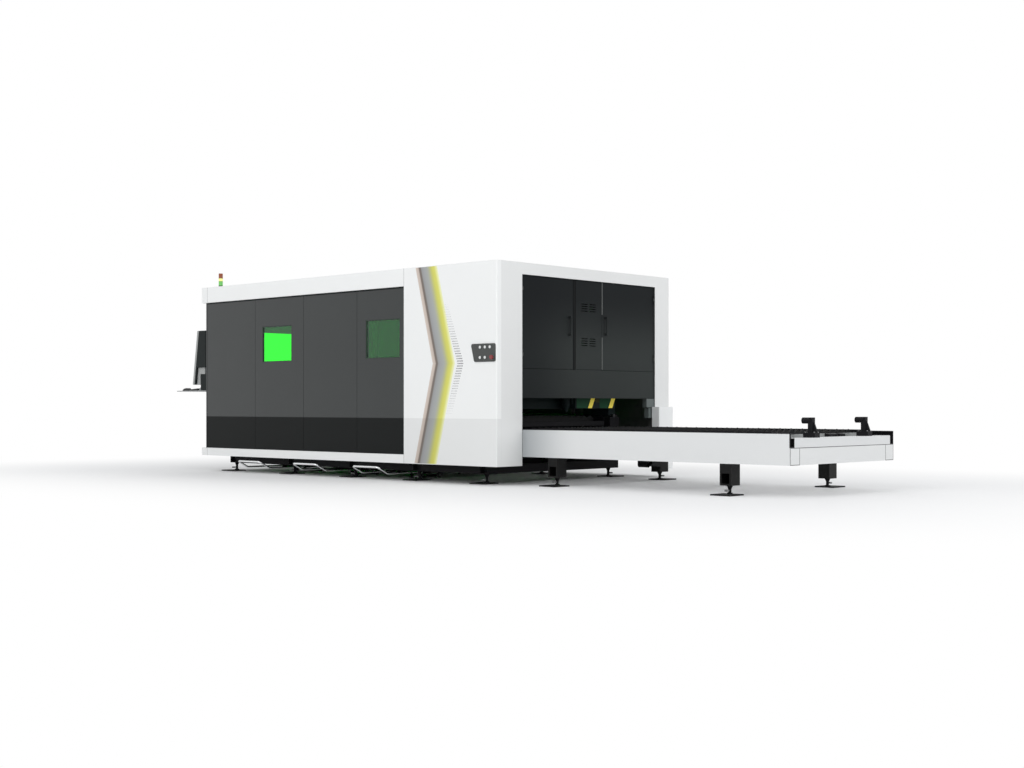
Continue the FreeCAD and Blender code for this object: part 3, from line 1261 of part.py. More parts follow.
def make_cart_handle(index):
    """Chrome tube: low out of the tray's front, up at the end, across, and back the same way."""
    middle = number(cart_middle(index))
    radius = number("handle_tube / 2")
    half = number("cart_handle_width / 2") - radius
    seat_y = number("cart_front")
    low = number("handle_seat")
    knee = number("handle_knee")
    bar_y = -number("handle_reach")
    high = number("handle_height")
    points = []
    for side in (-1, 1):
        arm = [(seat_y, low), (knee, low), (bar_y, high)]
        ordered = arm if side < 0 else reversed(arm)
        points += [FreeCAD.Vector(middle + side * half, y, z) for y, z in ordered]
    return shaped(f"cart_{index + 1}_handle", bent_tube(points, number("handle_bend"), radius))


def make_cart_wheels(index, end):
    """A wheelset: an axle through the forks with a wheel outside each."""
    name = f"cart_{index + 1}_{end}_wheels"
    y = axle_rows()[end]
    middle = cart_middle(index)
    reach = "(cart_width / 2 - cart_wheel_inset + fork_thickness / 2 + running_clearance)"
    axle = cylinder(name + "_axle", "X", "cart_axle_radius", f"2 * {reach} + 2",
                    f"{middle} - {reach} - 1", y, "cart_wheel_radius")
    wheels = []
    for side, start in (("low", f"{middle} - {reach} - cart_wheel_width"),
                        ("high", f"{middle} + {reach}")):
        wheels.append(cylinder(f"{name}_{side}", "X", "cart_wheel_radius", "cart_wheel_width",
                               start, y, "cart_wheel_radius"))
    return fuse(name, [axle] + wheels)


CART_COUNT = 3


def make_carts():
    """Three scrap carts side by side under the bed."""
    nodes = []
    for index in range(CART_COUNT):
        nodes += [make_cart(index), make_cart_handle(index), make_cart_wheels(index, "front"),
                  make_cart_wheels(index, "rear")]
    return nodes


# ---------------------------------------------------------------------------------------------
# The whole machine
# ---------------------------------------------------------------------------------------------

def make_machine():
    """Every node of the model, in the order that it would be built up."""
    nodes = [make_bed(), make_feet(), make_tracks(), make_enclosure_frame(),
             make_side_panels("near", True), make_side_panels("far", False), make_rear_panels(),
             make_windows(), make_portal(), make_roof(), make_left_door(), make_right_door(),
             make_end_panel(), make_latch(), make_drive_cover()]
    nodes += [make_console_bracket(), make_console_arm(), make_console_housing(), make_screen(),
              make_control_box(), make_keyboard_tray(), make_keyboard(), make_mouse()]
    nodes += [make_button_plate()] + make_buttons() + [make_emergency_stop(), make_signal_tower()]
    nodes += [make_gantry_rails(), make_gantry_beam(), make_carriage(), make_cutting_head()]
    nodes += make_pallets()
    nodes += [make_table_frame(), make_table_end_beam(), make_fascia(), make_stops(),
              make_drive_shaft()]
    nodes += make_carts()
    return nodes


def check(nodes):
    """Stop if any object failed or any node has no valid shape."""
    for thing in doc.Objects:
        if "Invalid" in thing.State or "Error" in thing.State:
            raise ValueError(f"{thing.Name} could not be computed")
    for node in nodes:
        if node.Shape.isNull() or not node.Shape.isValid() or not node.Shape.Solids:
            raise ValueError(f"{node.Label} has no valid solid")


def export(nodes):
    """One STEP file for each node, named after its label."""
    os.makedirs("parts", exist_ok=True)
    for node in nodes:
        node.Shape.exportStep(os.path.join("parts", node.Label + ".step"))


machine = make_machine()
doc.recompute()
check(machine)
export(machine)
print(f"{len(machine)} nodes, {sum(len(node.Shape.Solids) for node in machine)} solids")
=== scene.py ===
"""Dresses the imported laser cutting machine: a finish for every CAD node and the fine pieces on it.

Sizes are in metres from the machine's own datum: x from the portal's front face towards the
exchange table, y from the side with the buttons towards the far side, z from the floor.
"""

import logging
import math
from collections.abc import Iterable, Sequence
from dataclasses import dataclass
from enum import Enum

import bmesh
import bpy
from mathutils import Matrix, Vector

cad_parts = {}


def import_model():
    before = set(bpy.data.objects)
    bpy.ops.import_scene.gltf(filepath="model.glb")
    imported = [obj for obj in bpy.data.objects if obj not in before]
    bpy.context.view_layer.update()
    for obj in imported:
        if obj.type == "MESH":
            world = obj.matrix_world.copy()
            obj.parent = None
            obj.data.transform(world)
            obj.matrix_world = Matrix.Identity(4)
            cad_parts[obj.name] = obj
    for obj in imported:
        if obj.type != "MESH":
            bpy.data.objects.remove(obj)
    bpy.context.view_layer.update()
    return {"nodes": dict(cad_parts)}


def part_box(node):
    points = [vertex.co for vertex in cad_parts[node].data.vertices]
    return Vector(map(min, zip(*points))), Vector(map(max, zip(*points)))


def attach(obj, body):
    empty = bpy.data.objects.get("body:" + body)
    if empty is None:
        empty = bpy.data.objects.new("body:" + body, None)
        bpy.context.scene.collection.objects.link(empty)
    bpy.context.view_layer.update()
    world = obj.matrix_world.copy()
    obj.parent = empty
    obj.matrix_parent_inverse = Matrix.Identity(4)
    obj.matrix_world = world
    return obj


LOG = logging.getLogger("laser_cutter")

Colour = tuple[float, float, float]
Corner = tuple[float | None, float | None, float | None]
Span = tuple[float, float]

# Where the painted reflection of the studio's horizon ends: under this height the cladding, the
# portal and the chevron are a darker tone.
HORIZON_REFLECTION_HEIGHT = 0.655
# Where the cladding stands between the bottom and the top rail.
CLADDING_HEIGHTS: Span = (0.278, 2.017)
# How far the portal's near side is folded round its front; past it, the portal's end is a tone
# darker as painted shade.
WRAP = 0.066
# The green, the yellow and the red lens of the signal tower.
LAMP_HEIGHTS = (0.053, 0.036, 0.058)
# Dust that settles low on painted parts.
DUST: Colour = (0.34, 0.32, 0.29)
WHITE: Colour = (1.0, 1.0, 1.0)
# Features per metre and height of a coat's orange peel and of a print's grain.
PEEL_SCALE = 420.0
PEEL_HEIGHT = 0.00012
PRINT_SCALE = 500.0
PRINT_HEIGHT = 0.00003

BUTTONS = range(1, 6)
CARTS = range(1, 4)
LEVELS = ("lower", "upper")
ENDS = ("front", "rear")


class Body(Enum):
    """The CAD bodies that pieces ride on."""

    MACHINE = "machine"
    LOWER_PALLET = "lower_pallet"
    CARRIAGE = "carriage"
    RIGHT_DOOR = "door_right"
    CONSOLE = "console"
    BUTTON_1 = "button_1"
    BUTTON_2 = "button_2"
    BUTTON_3 = "button_3"
    BUTTON_4 = "button_4"
    BUTTON_5 = "button_5"
    STOP_BUTTON = "stop_button"
    CART_1 = "scrap_cart_1"
    CART_2 = "scrap_cart_2"
    CART_3 = "scrap_cart_3"
    CART_1_FRONT_AXLE = "cart_1_front_axle"
    CART_1_REAR_AXLE = "cart_1_rear_axle"
    CART_2_FRONT_AXLE = "cart_2_front_axle"
    CART_2_REAR_AXLE = "cart_2_rear_axle"
    CART_3_FRONT_AXLE = "cart_3_front_axle"
    CART_3_REAR_AXLE = "cart_3_rear_axle"


class Axis(Enum):
    """A direction of the model's frame."""

    X = (1.0, 0.0, 0.0)
    Y = (0.0, 1.0, 0.0)
    Z = (0.0, 0.0, 1.0)

    def turn(self) -> Matrix:
        """Returns the rotation that brings the Z axis onto this one."""
        return Vector(self.value).to_track_quat("Z", "Y").to_matrix().to_4x4()


# ----------------------------------------------------------------------------------------------
# Shader maths
# ----------------------------------------------------------------------------------------------


class Wire:
    """One output socket of a node tree, with Python's operators for the Math nodes behind it."""

    def __init__(self, tree: "Tree", socket: bpy.types.NodeSocket) -> None:
        """Keeps the tree that the socket belongs to.

        Args:
            tree: The tree that new nodes are added to.
            socket: The output that this wire carries.
        """
        self.tree = tree
        self.socket = socket

    def _math(self, operation: str, *values: "Wire | float", clamp: bool = False) -> "Wire":
        """Adds one Math node.

        Args:
            operation: The Math node's operation.
            values: Its inputs, in order.
            clamp: Whether the result is held between 0 and 1.

        Returns:
            The node's result.
        """
        settings = {"operation": operation, "use_clamp": clamp}
        return self.tree.wire("ShaderNodeMath", settings, dict(enumerate(values)))

    def __add__(self, other: "Wire | float") -> "Wire":
        """Returns the sum."""
        return self._math("ADD", self, other)

    def __radd__(self, other: float) -> "Wire":
        """Returns the sum."""
        return self._math("ADD", other, self)

    def __sub__(self, other: "Wire | float") -> "Wire":
        """Returns this less the other."""
        return self._math("SUBTRACT", self, other)

    def __rsub__(self, other: float) -> "Wire":
        """Returns the other less this."""
        return self._math("SUBTRACT", other, self)

    def __mul__(self, other: "Wire | float") -> "Wire":
        """Returns the product."""
        return self._math("MULTIPLY", self, other)

    def __rmul__(self, other: float) -> "Wire":
        """Returns the product."""
        return self._math("MULTIPLY", other, self)

    def __pow__(self, other: float) -> "Wire":
        """Returns this to the other's power."""
        return self._math("POWER", self, other)

    def above(self, level: float) -> "Wire":
        """Returns 1 where this is over the level and 0 elsewhere."""
        return self._math("GREATER_THAN", self, level)

    def below(self, level: float) -> "Wire":
        """Returns 1 where this is under the level and 0 elsewhere."""
        return self._math("LESS_THAN", self, level)

    def at_least(self, level: float) -> "Wire":
        """Returns this, or the level where this is under it."""
        return self._math("MAXIMUM", self, level)

    def clamped(self) -> "Wire":
        """Returns this held between 0 and 1."""
        return self._math("ADD", self, 0.0, clamp=True)

    def absolute(self) -> "Wire":
        """Returns this without its sign."""
        return self._math("ABSOLUTE", self)

    def sine(self) -> "Wire":
        """Returns the sine of this angle."""
        return self._math("SINE", self)

    def around(self, middle: float, swing: float) -> "Wire":
        """Returns the middle value, moved by the swing times this noise, which is around 0.5."""
        return middle + (self - 0.5) * swing

    def ramp(self, low: float, high: float) -> "Wire":
        """Rises smoothly from 0 to 1.

        Args:
            low: Where the result is 0.
            high: Where the result is 1; less than low for a falling ramp.

        Returns:
            The share of the way from low to high.
        """
        if low > high:
            return 1 - self.ramp(high, low)
        return self.tree.wire("ShaderNodeMapRange", {"interpolation_type": "SMOOTHSTEP"},
                              {"Value": self, "From Min": low, "From Max": high})


class Tree:
    """Any node tree, emptied, with one method that makes its nodes."""

    def __init__(self, nodes: bpy.types.NodeTree) -> None:
        """Empties the tree.

        Args:
            nodes: The node tree of a material or a world.
        """
        self.nodes = nodes
        self.nodes.nodes.clear()

    def node(self, kind: str, settings: dict[str, object] | None = None,
             values: dict[str | int, object] | None = None) -> bpy.types.Node:
        """Adds any node.

        Args:
            kind: The node's type.
            settings: Attributes, and "stops" for a ramp, which are set first.
            values: What each input gets, by name or number: a wire or a plain value.

        Returns:
            The new node.
        """
        made = self.nodes.nodes.new(kind)
        for key, value in (settings or {}).items():
            if key == "stops":
                self._set_stops(made, value)
            else:
                setattr(made, key, value)
        for key, value in (values or {}).items():
            target = made.inputs[key]
            if isinstance(value, Wire):
                self.nodes.links.new(value.socket, target)
            elif isinstance(value, tuple) and len(value) == 3 and target.type == "RGBA":
                target.default_value = (*value, 1.0)
            else:
                target.default_value = value
        return made

    @staticmethod
    def _set_stops(ramp: bpy.types.Node, stops: Sequence[tuple[float, Colour]]) -> None:
        """Gives a ramp its stops.

        Args:
            ramp: The Color Ramp node.
            stops: Each stop's place and colour.
        """
        elements = ramp.color_ramp.elements
        while len(elements) < len(stops):
            elements.new(0.5)
        for element, (place, colour) in zip(elements, stops):
            element.position = place
            element.color = (*colour, 1.0)

    def wire(self, kind: str, settings: dict[str, object] | None = None,
             values: dict[str | int, object] | None = None, output: str | int = 0) -> Wire:
        """Adds a node and takes one of its outputs.

        Args:
            kind: The node's type.
            settings: As for node.
            values: As for node.
            output: The wanted output's name or number.

        Returns:
            That output.
        """
        return Wire(self, self.node(kind, settings, values).outputs[output])

    def seen(self) -> Wire:
        """Returns 1 for what the camera, mirrors and glass see, and 0 for what lights."""
        rays = ("Is Camera Ray", "Is Glossy Ray", "Is Transmission Ray")
        camera, mirror, glass = (self.wire("ShaderNodeLightPath", output=ray) for ray in rays)
        return (camera + mirror + glass).clamped()


class Shader(Tree):
    """A material's node tree around one Principled shader."""

    def __init__(self, name: str, datum: Vector) -> None:
        """Starts an empty material.

        Args:
            name: The material's name.
            datum: The machine's datum in the model's frame.
        """
        self.material = bpy.data.materials.new(name)
        self.material.use_nodes = True
        super().__init__(self.material.node_tree)
        place = self.wire("ShaderNodeTexCoord", output="Object")
        self.place = self.wire("ShaderNodeVectorMath", {"operation": "SUBTRACT"},
                               {0: place, 1: tuple(datum)})
        split = self.node("ShaderNodeSeparateXYZ", values={0: self.place})
        self.x, self.y, self.z = (Wire(self, output) for output in split.outputs)

    def inside(self, low: Corner, high: Corner) -> Wire:
        """Marks a region of the machine.

        Args:
            low: Its lowest corner; None leaves that side open.
            high: Its highest corner, likewise.

        Returns:
            1 inside and 0 outside.
        """
        sides = []
        for part, least, most in zip((self.x, self.y, self.z), low, high):
            if least is not None:
                sides.append(part.above(least))
            if most is not None:
                sides.append(part.below(most))
        mask = sides[0]
        for side in sides[1:]:
            mask = mask * side
        return mask

    def stretched(self, scale: Sequence[float]) -> Wire:
        """Returns the point with each coordinate times its factor in scale."""
        return self.wire("ShaderNodeVectorMath", {"operation": "MULTIPLY"},
                         {0: self.place, 1: scale})

    def scaled(self, colour: Wire | Colour, factor: Wire) -> Wire:
        """Returns the colour times the factor."""
        return self.wire("ShaderNodeVectorMath", {"operation": "SCALE"},
                         {0: colour, "Scale": factor})

    def noise(self, scale: float, detail: float = 3.0, roughness: float = 0.55,
              vector: Wire | None = None) -> Wire:
        """Adds a noise texture.

        Args:
            scale: Features per metre.
            detail: Octaves.
            roughness: How much the small ones show.
            vector: The point, if not the plain place.

        Returns:
            The noise, around 0.5.
        """
        return self.wire("ShaderNodeTexNoise", {}, {"Vector": vector or self.place, "Scale": scale,
                                                    "Detail": detail, "Roughness": roughness})

    def mix(self, factor: Wire | float, low: Wire | Colour, high: Wire | Colour) -> Wire:
        """Mixes two colours.

        Args:
            factor: 0 for the first colour, 1 for the second.
            low: The first colour.
            high: The second colour.

        Returns:
            The mixed colour.
        """
        return self.wire("ShaderNodeMix", {"data_type": "RGBA"},
                         {"Factor": factor, 6: low, 7: high}, output=2)

    def grain(self, scale: float, height: float) -> Wire:
        """Returns the normal of an even grain with that many features per metre and that height."""
        return self.bump(self.noise(scale, 2.0), height)

    def bump(self, height: Wire, distance: float) -> Wire:
        """Turns a height into a normal.

        Args:
            height: From 0 to 1.
            distance: The height of 1, in metres.

        Returns:
            The bent normal.
        """
        return self.wire("ShaderNodeBump", {}, {"Height": height, "Distance": distance})

    def principled(self, **values: object) -> bpy.types.Material:
        """Ends the material in a Principled shader.

        Args:
            values: Its inputs, by name with underscores for spaces.

        Returns:
            The finished material.
        """
        inputs = {key.replace("_", " "): value for key, value in values.items()}
        return self.end(self.wire("ShaderNodeBsdfPrincipled", {}, inputs))

    def end(self, surface: Wire) -> bpy.types.Material:
        """Connects the surface to the output.

        Args:
            surface: The last shader.

        Returns:
            The finished material.
        """
        self.node("ShaderNodeOutputMaterial", {}, {"Surface": surface})
        return self.material


# ----------------------------------------------------------------------------------------------
# Finishes
# ----------------------------------------------------------------------------------------------


@dataclass(frozen=True)
class Tone:
    """A region whose coat is lighter or darker than the rest by a factor; it carries real paint and
    also painted shade and painted reflection.
    """

    low: Corner
    high: Corner
    factor: float


@dataclass(frozen=True)
class Finish:
    """What every finish has: a name, and a way to mix its material."""

    name: str

    def material(self, datum: Vector) -> bpy.types.Material:
        """Returns the material, laid out from the machine's datum."""
        raise NotImplementedError


@dataclass(frozen=True)
class PowderCoat(Finish):
    """Sprayed and baked coat with a fine orange peel, faint mottling, dust near the floor and tones
    by region, some of them painted shade and painted reflection.
    """

    colour: Colour
    roughness: float = 0.38
    tones: tuple[Tone, ...] = ()
    peel: float = PEEL_HEIGHT
    mottle: float = 0.03
    dust: float = 0.25
    dust_height: float = 0.12
    dust_scale: float = 9.0
    dust_patches: Span = (0.42, 0.7)
    dust_roughness: float = 0.25
    specular: float = 0.5
    cloud_scale: float = 1.7
    sheen_swing: float = 0.12

    def material(self, datum: Vector) -> bpy.types.Material:
        """Returns the coat, with each tone in its region."""
        shader = Shader(self.name, datum)
        cloud = shader.noise(self.cloud_scale, 4.0)
        shade = cloud.around(1.0, self.mottle)
        for tone in self.tones:
            shade = shade * (1 - shader.inside(tone.low, tone.high) * (1 - tone.factor))
        low_down = shader.z.ramp(self.dust_height, 0.0)
        dust = low_down * shader.noise(self.dust_scale, 5.0).ramp(*self.dust_patches)
        colour = shader.mix(dust * self.dust, shader.scaled(self.colour, shade), DUST)
        sheen = cloud.around(self.roughness, self.sheen_swing)
        return shader.principled(Base_Color=colour, Specular_IOR_Level=self.specular,
                                 Normal=shader.grain(PEEL_SCALE, self.peel),
                                 Roughness=sheen + dust * self.dust_roughness)


@dataclass(frozen=True)
class PaintedShadeCoat(Finish):
    """Powder coat with painted shade: its colour runs from a shaded colour at one end of the piece
    to its own colour at the other.
    """

    shaded_colour: Colour
    end_colour: Colour
    span: Span
    roughness: float = 0.38
    mottle: float = 0.03
    cloud_scale: float = 2.1
    sheen_swing: float = 0.12

    def material(self, datum: Vector) -> bpy.types.Material:
        """Returns the coat, with painted shade fading along x over the span."""
        shader = Shader(self.name, datum)
        cloud = shader.noise(self.cloud_scale, 4.0)
        colour = shader.mix(shader.x.ramp(*self.span), self.shaded_colour, self.end_colour)
        shade = cloud.around(1.0, self.mottle)
        return shader.principled(Base_Color=shader.scaled(colour, shade),
                                 Roughness=cloud.around(self.roughness, self.sheen_swing),
                                 Normal=shader.grain(PEEL_SCALE, PEEL_HEIGHT))


@dataclass(frozen=True)
class GlossCladding(Finish):
    """Near-black panel with a clear coat between the break of a painted reflection, under which it
    is darker and matt, and a painted shadow under the top rail.
    """

    colour: Colour
    low_reflection_colour: Colour
    inner_colour: Colour
    coat: float
    inside: tuple[Corner, Corner]
    # Painted reflection of the studio's horizon: under this break the panel is darker and matt.
    reflection_break: Span = (HORIZON_REFLECTION_HEIGHT - 0.004, HORIZON_REFLECTION_HEIGHT + 0.004)
    # Painted shadow: a band under the top rail, darker and without coat.
    gap: Span = (2.0, 2.005)
    rail_painted_shadow: float = 0.5
    cloud_scale: float = 1.3
    mottle: float = 0.2
    coat_swing: float = 0.06
    coat_roughness: float = 0.09
    wipe_scale: float = 6.0
    wipe_stretch: tuple[float, float, float] = (0.4, 1.0, 1.6)
    roughness: float = 0.36
    sheen_swing: float = 0.16
    specular: float = 0.08
    peel_scale: float = 260.0
    peel: float = 0.00008

    def material(self, datum: Vector) -> bpy.types.Material:
        """Returns the panel's finish: darker and matt under the break as painted reflection of the
        studio's horizon, darker and matt in the painted shadow under the top rail, and matt inside.
        """
        shader = Shader(self.name, datum)
        upper = shader.z.ramp(*self.reflection_break)
        gap = shader.z.ramp(*self.gap)
        inner = shader.inside(*self.inside)
        cloud = shader.noise(self.cloud_scale, 4.0)
        wiped = shader.noise(self.wipe_scale, 6.0, vector=shader.stretched(self.wipe_stretch))
        colour = shader.mix(inner, shader.mix(upper, self.low_reflection_colour, self.colour),
                            self.inner_colour)
        coat = upper * (1 - inner) * (1 - gap) * cloud.around(self.coat, self.coat_swing)
        shade = (1 - self.mottle / 2 + cloud * self.mottle) * (1 - gap * self.rail_painted_shadow)
        return shader.principled(Base_Color=shader.scaled(colour, shade),
                                 Roughness=wiped.around(self.roughness, self.sheen_swing),
                                 Coat_Weight=coat, Coat_Roughness=self.coat_roughness,
                                 Specular_IOR_Level=self.specular,
                                 Normal=shader.grain(self.peel_scale, self.peel))


@dataclass(frozen=True)
class DoorCoat(Finish):
    """Dark satin coat of the infill, with painted shading that is darkest at its top near corner and
    paler low down.
    """

    # Painted shading: the infill runs from the dark colour at its top near corner to the pale one
    # low down.
    dark: Colour
    pale: Colour
    heights: Span
    across: Span
    # Painted shadow in the reveal between the near door and the centre panel.
    reveal: Span
    reveal_bottom: float
    reveal_painted_shadow: float = 0.75
    least: Span = (0.15, 0.3)
    cloud_scale: float = 2.2
    mottle: float = 0.08
    roughness: float = 0.55
    sheen_swing: float = 0.16
    specular: float = 0.06
    peel_scale: float = 300.0
    peel: float = 0.0001

    def material(self, datum: Vector) -> bpy.types.Material:
        """Returns the coat with its painted shading, and a painted shadow in the reveal between the
        near door and the centre panel.
        """
        shader = Shader(self.name, datum)
        down = shader.z.ramp(self.heights[1], self.heights[0])
        along = shader.y.ramp(*self.across)
        cloud = shader.noise(self.cloud_scale, 4.0)
        by_height, by_place = (least + way * (1 - least)
                               for least, way in zip(self.least, (down, along)))
        share = by_height * by_place + (cloud - 0.5) * self.mottle
        reveal = shader.inside((None, self.reveal[0], self.reveal_bottom),
                               (None, self.reveal[1], None))
        coat = shader.mix(share.clamped(), self.dark, self.pale)
        return shader.principled(Base_Color=shader.scaled(coat, 1 - reveal * self.reveal_painted_shadow),
                                 Roughness=cloud.around(self.roughness, self.sheen_swing),
                                 Specular_IOR_Level=self.specular,
                                 Normal=shader.grain(self.peel_scale, self.peel))


@dataclass(frozen=True)
class Metal(Finish):
    """Bare metal with drawn or rolled grain along one axis and darker handling marks."""

    colour: Colour
    roughness: float
    grain: Axis = Axis.X
    stain: float = 0.25
    stain_scale: float = 5.0
    stain_patches: Span = (0.5, 0.75)
    stain_tone: float = 0.45
    stain_roughness: float = 0.08
    grain_height: float = 0.00005
    grain_scales: Span = (4.0, 160.0)
    grain_tone: float = 0.18
    sheen_swing: float = 0.2

    def material(self, datum: Vector) -> bpy.types.Material:
        """Returns the metal."""
        shader = Shader(self.name, datum)
        with_it, across_it = self.grain_scales
        stretch = tuple(with_it if part else across_it for part in self.grain.value)
        streaks = shader.noise(1.0, 4.0, 0.7, vector=shader.stretched(stretch))
        marks = shader.noise(self.stain_scale, 6.0).ramp(*self.stain_patches)
        dark = tuple(part * self.stain_tone for part in self.colour)
        share = (marks * self.stain + (streaks - 0.5) * self.grain_tone).clamped()
        sheen = streaks.around(self.roughness, self.sheen_swing)
        return shader.principled(Base_Color=shader.mix(share, self.colour, dark), Metallic=1.0,
                                 Roughness=sheen + marks * self.stain_roughness,
                                 Normal=shader.bump(streaks, self.grain_height))


@dataclass(frozen=True)
class ScorchedSteel(Finish):
    """Slat steel: dark mill scale and spatter, with a faint heat tint towards the teeth's tips."""

    tips: Span
    steel: tuple[Colour, Colour] = ((0.009, 0.0095, 0.01), (0.02, 0.0205, 0.021))
    tint: tuple[Colour, Colour] = ((0.022, 0.019, 0.017), (0.014, 0.016, 0.019))
    tint_patches: Span = (0.35, 0.65)
    tint_share: float = 0.6
    spatter_scale: float = 90.0
    spatter_patches: Span = (0.56, 0.68)
    mill_scale: float = 14.0

    def material(self, datum: Vector) -> bpy.types.Material:
        """Returns the steel, tinted near the tips' height."""
        shader = Shader(self.name, datum)
        hot = shader.z.ramp(*self.tips)
        spatter = shader.noise(self.spatter_scale, 4.0).ramp(*self.spatter_patches)
        scale = shader.noise(self.mill_scale, 6.0)
        colour = shader.mix(hot * self.tint_share, shader.mix(scale, *self.steel),
                            shader.mix(scale.ramp(*self.tint_patches), *self.tint))
        return shader.principled(Base_Color=colour, Metallic=0.15 - spatter * 0.1,
                                 Specular_IOR_Level=0.15,
                                 Roughness=0.5 + scale * 0.25 + spatter * 0.1,
                                 Normal=shader.bump(spatter, 0.0004))


@dataclass(frozen=True)
class Moulded(Finish):
    """Moulded plastic or rubber with a fine spark-eroded grain."""

    colour: Colour
    roughness: float = 0.45
    grain: float = 0.00006
    grain_scale: float = 900.0
    coat: float = 0.0
    cloud_scale: float = 25.0
    mottle: float = 0.25
    dark_tone: float = 0.7
    sheen_swing: float = 0.12

    def material(self, datum: Vector) -> bpy.types.Material:
        """Returns the plastic."""
        shader = Shader(self.name, datum)
        cloud = shader.noise(self.cloud_scale, 4.0)
        dark = tuple(part * self.dark_tone for part in self.colour)
        return shader.principled(Base_Color=shader.mix(cloud * self.mottle, self.colour, dark),
                                 Coat_Weight=self.coat,
                                 Roughness=cloud.around(self.roughness, self.sheen_swing),
                                 Normal=shader.grain(self.grain_scale, self.grain))


@dataclass(frozen=True)
class LaserGlass(Finish):
    """Green laser-safe sheet: it passes green light, has a faint green body and a glossy face."""

    passed: Colour
    body: Colour

    def material(self, datum: Vector) -> bpy.types.Material:
        """Returns the see-through sheet."""
        shader = Shader(self.name, datum)
        shader.material.use_transparent_shadow = False
        haze = shader.noise(3.0, 4.0)
        clear = shader.wire("ShaderNodeBsdfTransparent", {}, {"Color": self.passed})
        body = shader.scaled(self.body, 0.9 + haze * 0.2)
        face = shader.wire("ShaderNodeBsdfPrincipled", {}, {
            "Base Color": body, "Roughness": 0.04 + haze * 0.02})
        return shader.end(shader.wire("ShaderNodeAddShader", {}, {0: clear, 1: face}))


@dataclass(frozen=True)
class LampStack(Finish):
    """Signal lamps: a dark foot, then green, yellow and red lenses with fine ribs inside."""

    start: float
    heights: tuple[float, float, float]
    foot_share: float = 0.25
    rib_pitch: float = 0.006
    rib_height: float = 0.0006
    foot_tone: Colour = (0.06, 0.06, 0.06)
    lenses: tuple[Colour, ...] = ((0.13, 0.46, 0.1), (0.8, 0.8, 0.26), (0.22, 0.055, 0.02))
    glow: float = 0.3

    def material(self, datum: Vector) -> bpy.types.Material:
        """Returns the lenses, coloured by their height."""
        shader = Shader(self.name, datum)
        foot, rest = self.foot_share, 1 - self.foot_share
        green, yellow, _ = (height / sum(self.heights) * rest for height in self.heights)
        share = (shader.z - self.start) * (rest / sum(self.heights)) + foot
        stops = list(zip((0.0, foot, foot + green, foot + green + yellow),
                         (self.foot_tone, *self.lenses)))
        lamps = shader.wire("ShaderNodeValToRGB", {"stops": stops}, {"Fac": share.clamped()})
        lamps.socket.node.color_ramp.interpolation = "CONSTANT"
        ribs = (shader.z * (2 * math.pi / self.rib_pitch)).sine() * 0.5 + 0.5
        return shader.principled(Base_Color=lamps, Roughness=0.16 + ribs * 0.06,
                                 Emission_Color=lamps, Emission_Strength=self.glow,
                                 Normal=shader.bump(ribs, self.rib_height))


@dataclass(frozen=True)
class PrintedInk(Finish):
    """Flat printed ink with the faint unevenness of a screen print; the same flat finish also serves
    for painted highlights, painted shadows and painted light.
    """

    colour: Colour
    roughness: float = 0.4
    specular: float = 0.5
    # Emission as painted light, for ink that should look lit though it lies in shade.
    glow: float = 0.0

    def material(self, datum: Vector) -> bpy.types.Material:
        """Returns the ink, with a little painted light of its own where glow is set."""
        shader = Shader(self.name, datum)
        cloud = shader.noise(4.0, 3.0)
        colour = shader.scaled(self.colour, 0.96 + cloud * 0.08)
        return shader.principled(Base_Color=colour, Roughness=cloud.around(self.roughness, 0.1),
                                 Specular_IOR_Level=self.specular, Emission_Color=colour,
                                 Emission_Strength=self.glow,
                                 Normal=shader.grain(PRINT_SCALE, PRINT_HEIGHT))


@dataclass(frozen=True)
class StripeInk(Finish):
    """The chevron's print across its width: bronze, a dark line, grey, then yellow to its edge."""

    stops: tuple[tuple[float, Colour], ...]
    layer: str
    # Painted reflection of the studio's horizon: the print's tone under the break.
    painted_reflection_tone: float

    def material(self, datum: Vector) -> bpy.types.Material:
        """Returns the print, read across the ribbon, and a tone lower under the break as painted
        reflection of the studio's horizon.
        """
        shader = Shader(self.name, datum)
        across = shader.node("ShaderNodeSeparateXYZ", values={
            0: shader.wire("ShaderNodeUVMap", {"uv_map": self.layer})})
        ink = shader.wire("ShaderNodeValToRGB", {"stops": self.stops},
                          {"Fac": Wire(shader, across.outputs[0])})
        cloud = shader.noise(4.0, 3.0)
        lower = 1 - shader.z.below(HORIZON_REFLECTION_HEIGHT) * (1 - self.painted_reflection_tone)
        return shader.principled(Base_Color=shader.scaled(ink, (0.98 + cloud * 0.04) * lower),
                                 Roughness=cloud.around(0.4, 0.1),
                                 Normal=shader.grain(PRINT_SCALE, PRINT_HEIGHT))


# The cabinet's frame and portal. Painted shade darkens the portal's end past its wrap, and a darker
# hairline marks the edge of its rounded near corner. Painted reflection of the studio's horizon
# darkens the lower parts. Painted shade darkens the inside of the cabinet and the opening round the
# doors.
CABINET_TONES = (
    # Painted shade on the portal's end past the wrap, then a darker hairline at the wrap's edge.
    Tone((-0.004, WRAP, None), (None, None, None), 0.885),
    Tone((-0.004, WRAP, None), (None, WRAP + 0.005, None), 0.96),
    # Painted reflection of the studio's horizon: the lower parts are a tone darker.
    Tone((-1.327, None, None), (-0.004, None, HORIZON_REFLECTION_HEIGHT), 0.884),
    Tone((None, None, None), (-1.327, None, HORIZON_REFLECTION_HEIGHT), 0.95),
    Tone((-0.004, None, None), (None, WRAP, HORIZON_REFLECTION_HEIGHT), 0.884),
    # Painted shade: the cabinet's inside and the opening round the doors are near black.
    Tone((-4.86, 0.034, 0.25), (-0.003, 2.736, 2.182), 0.08),
    Tone((-0.1, 0.367, 0.3), (0.002, 2.513, 2.08), 0.1),
)

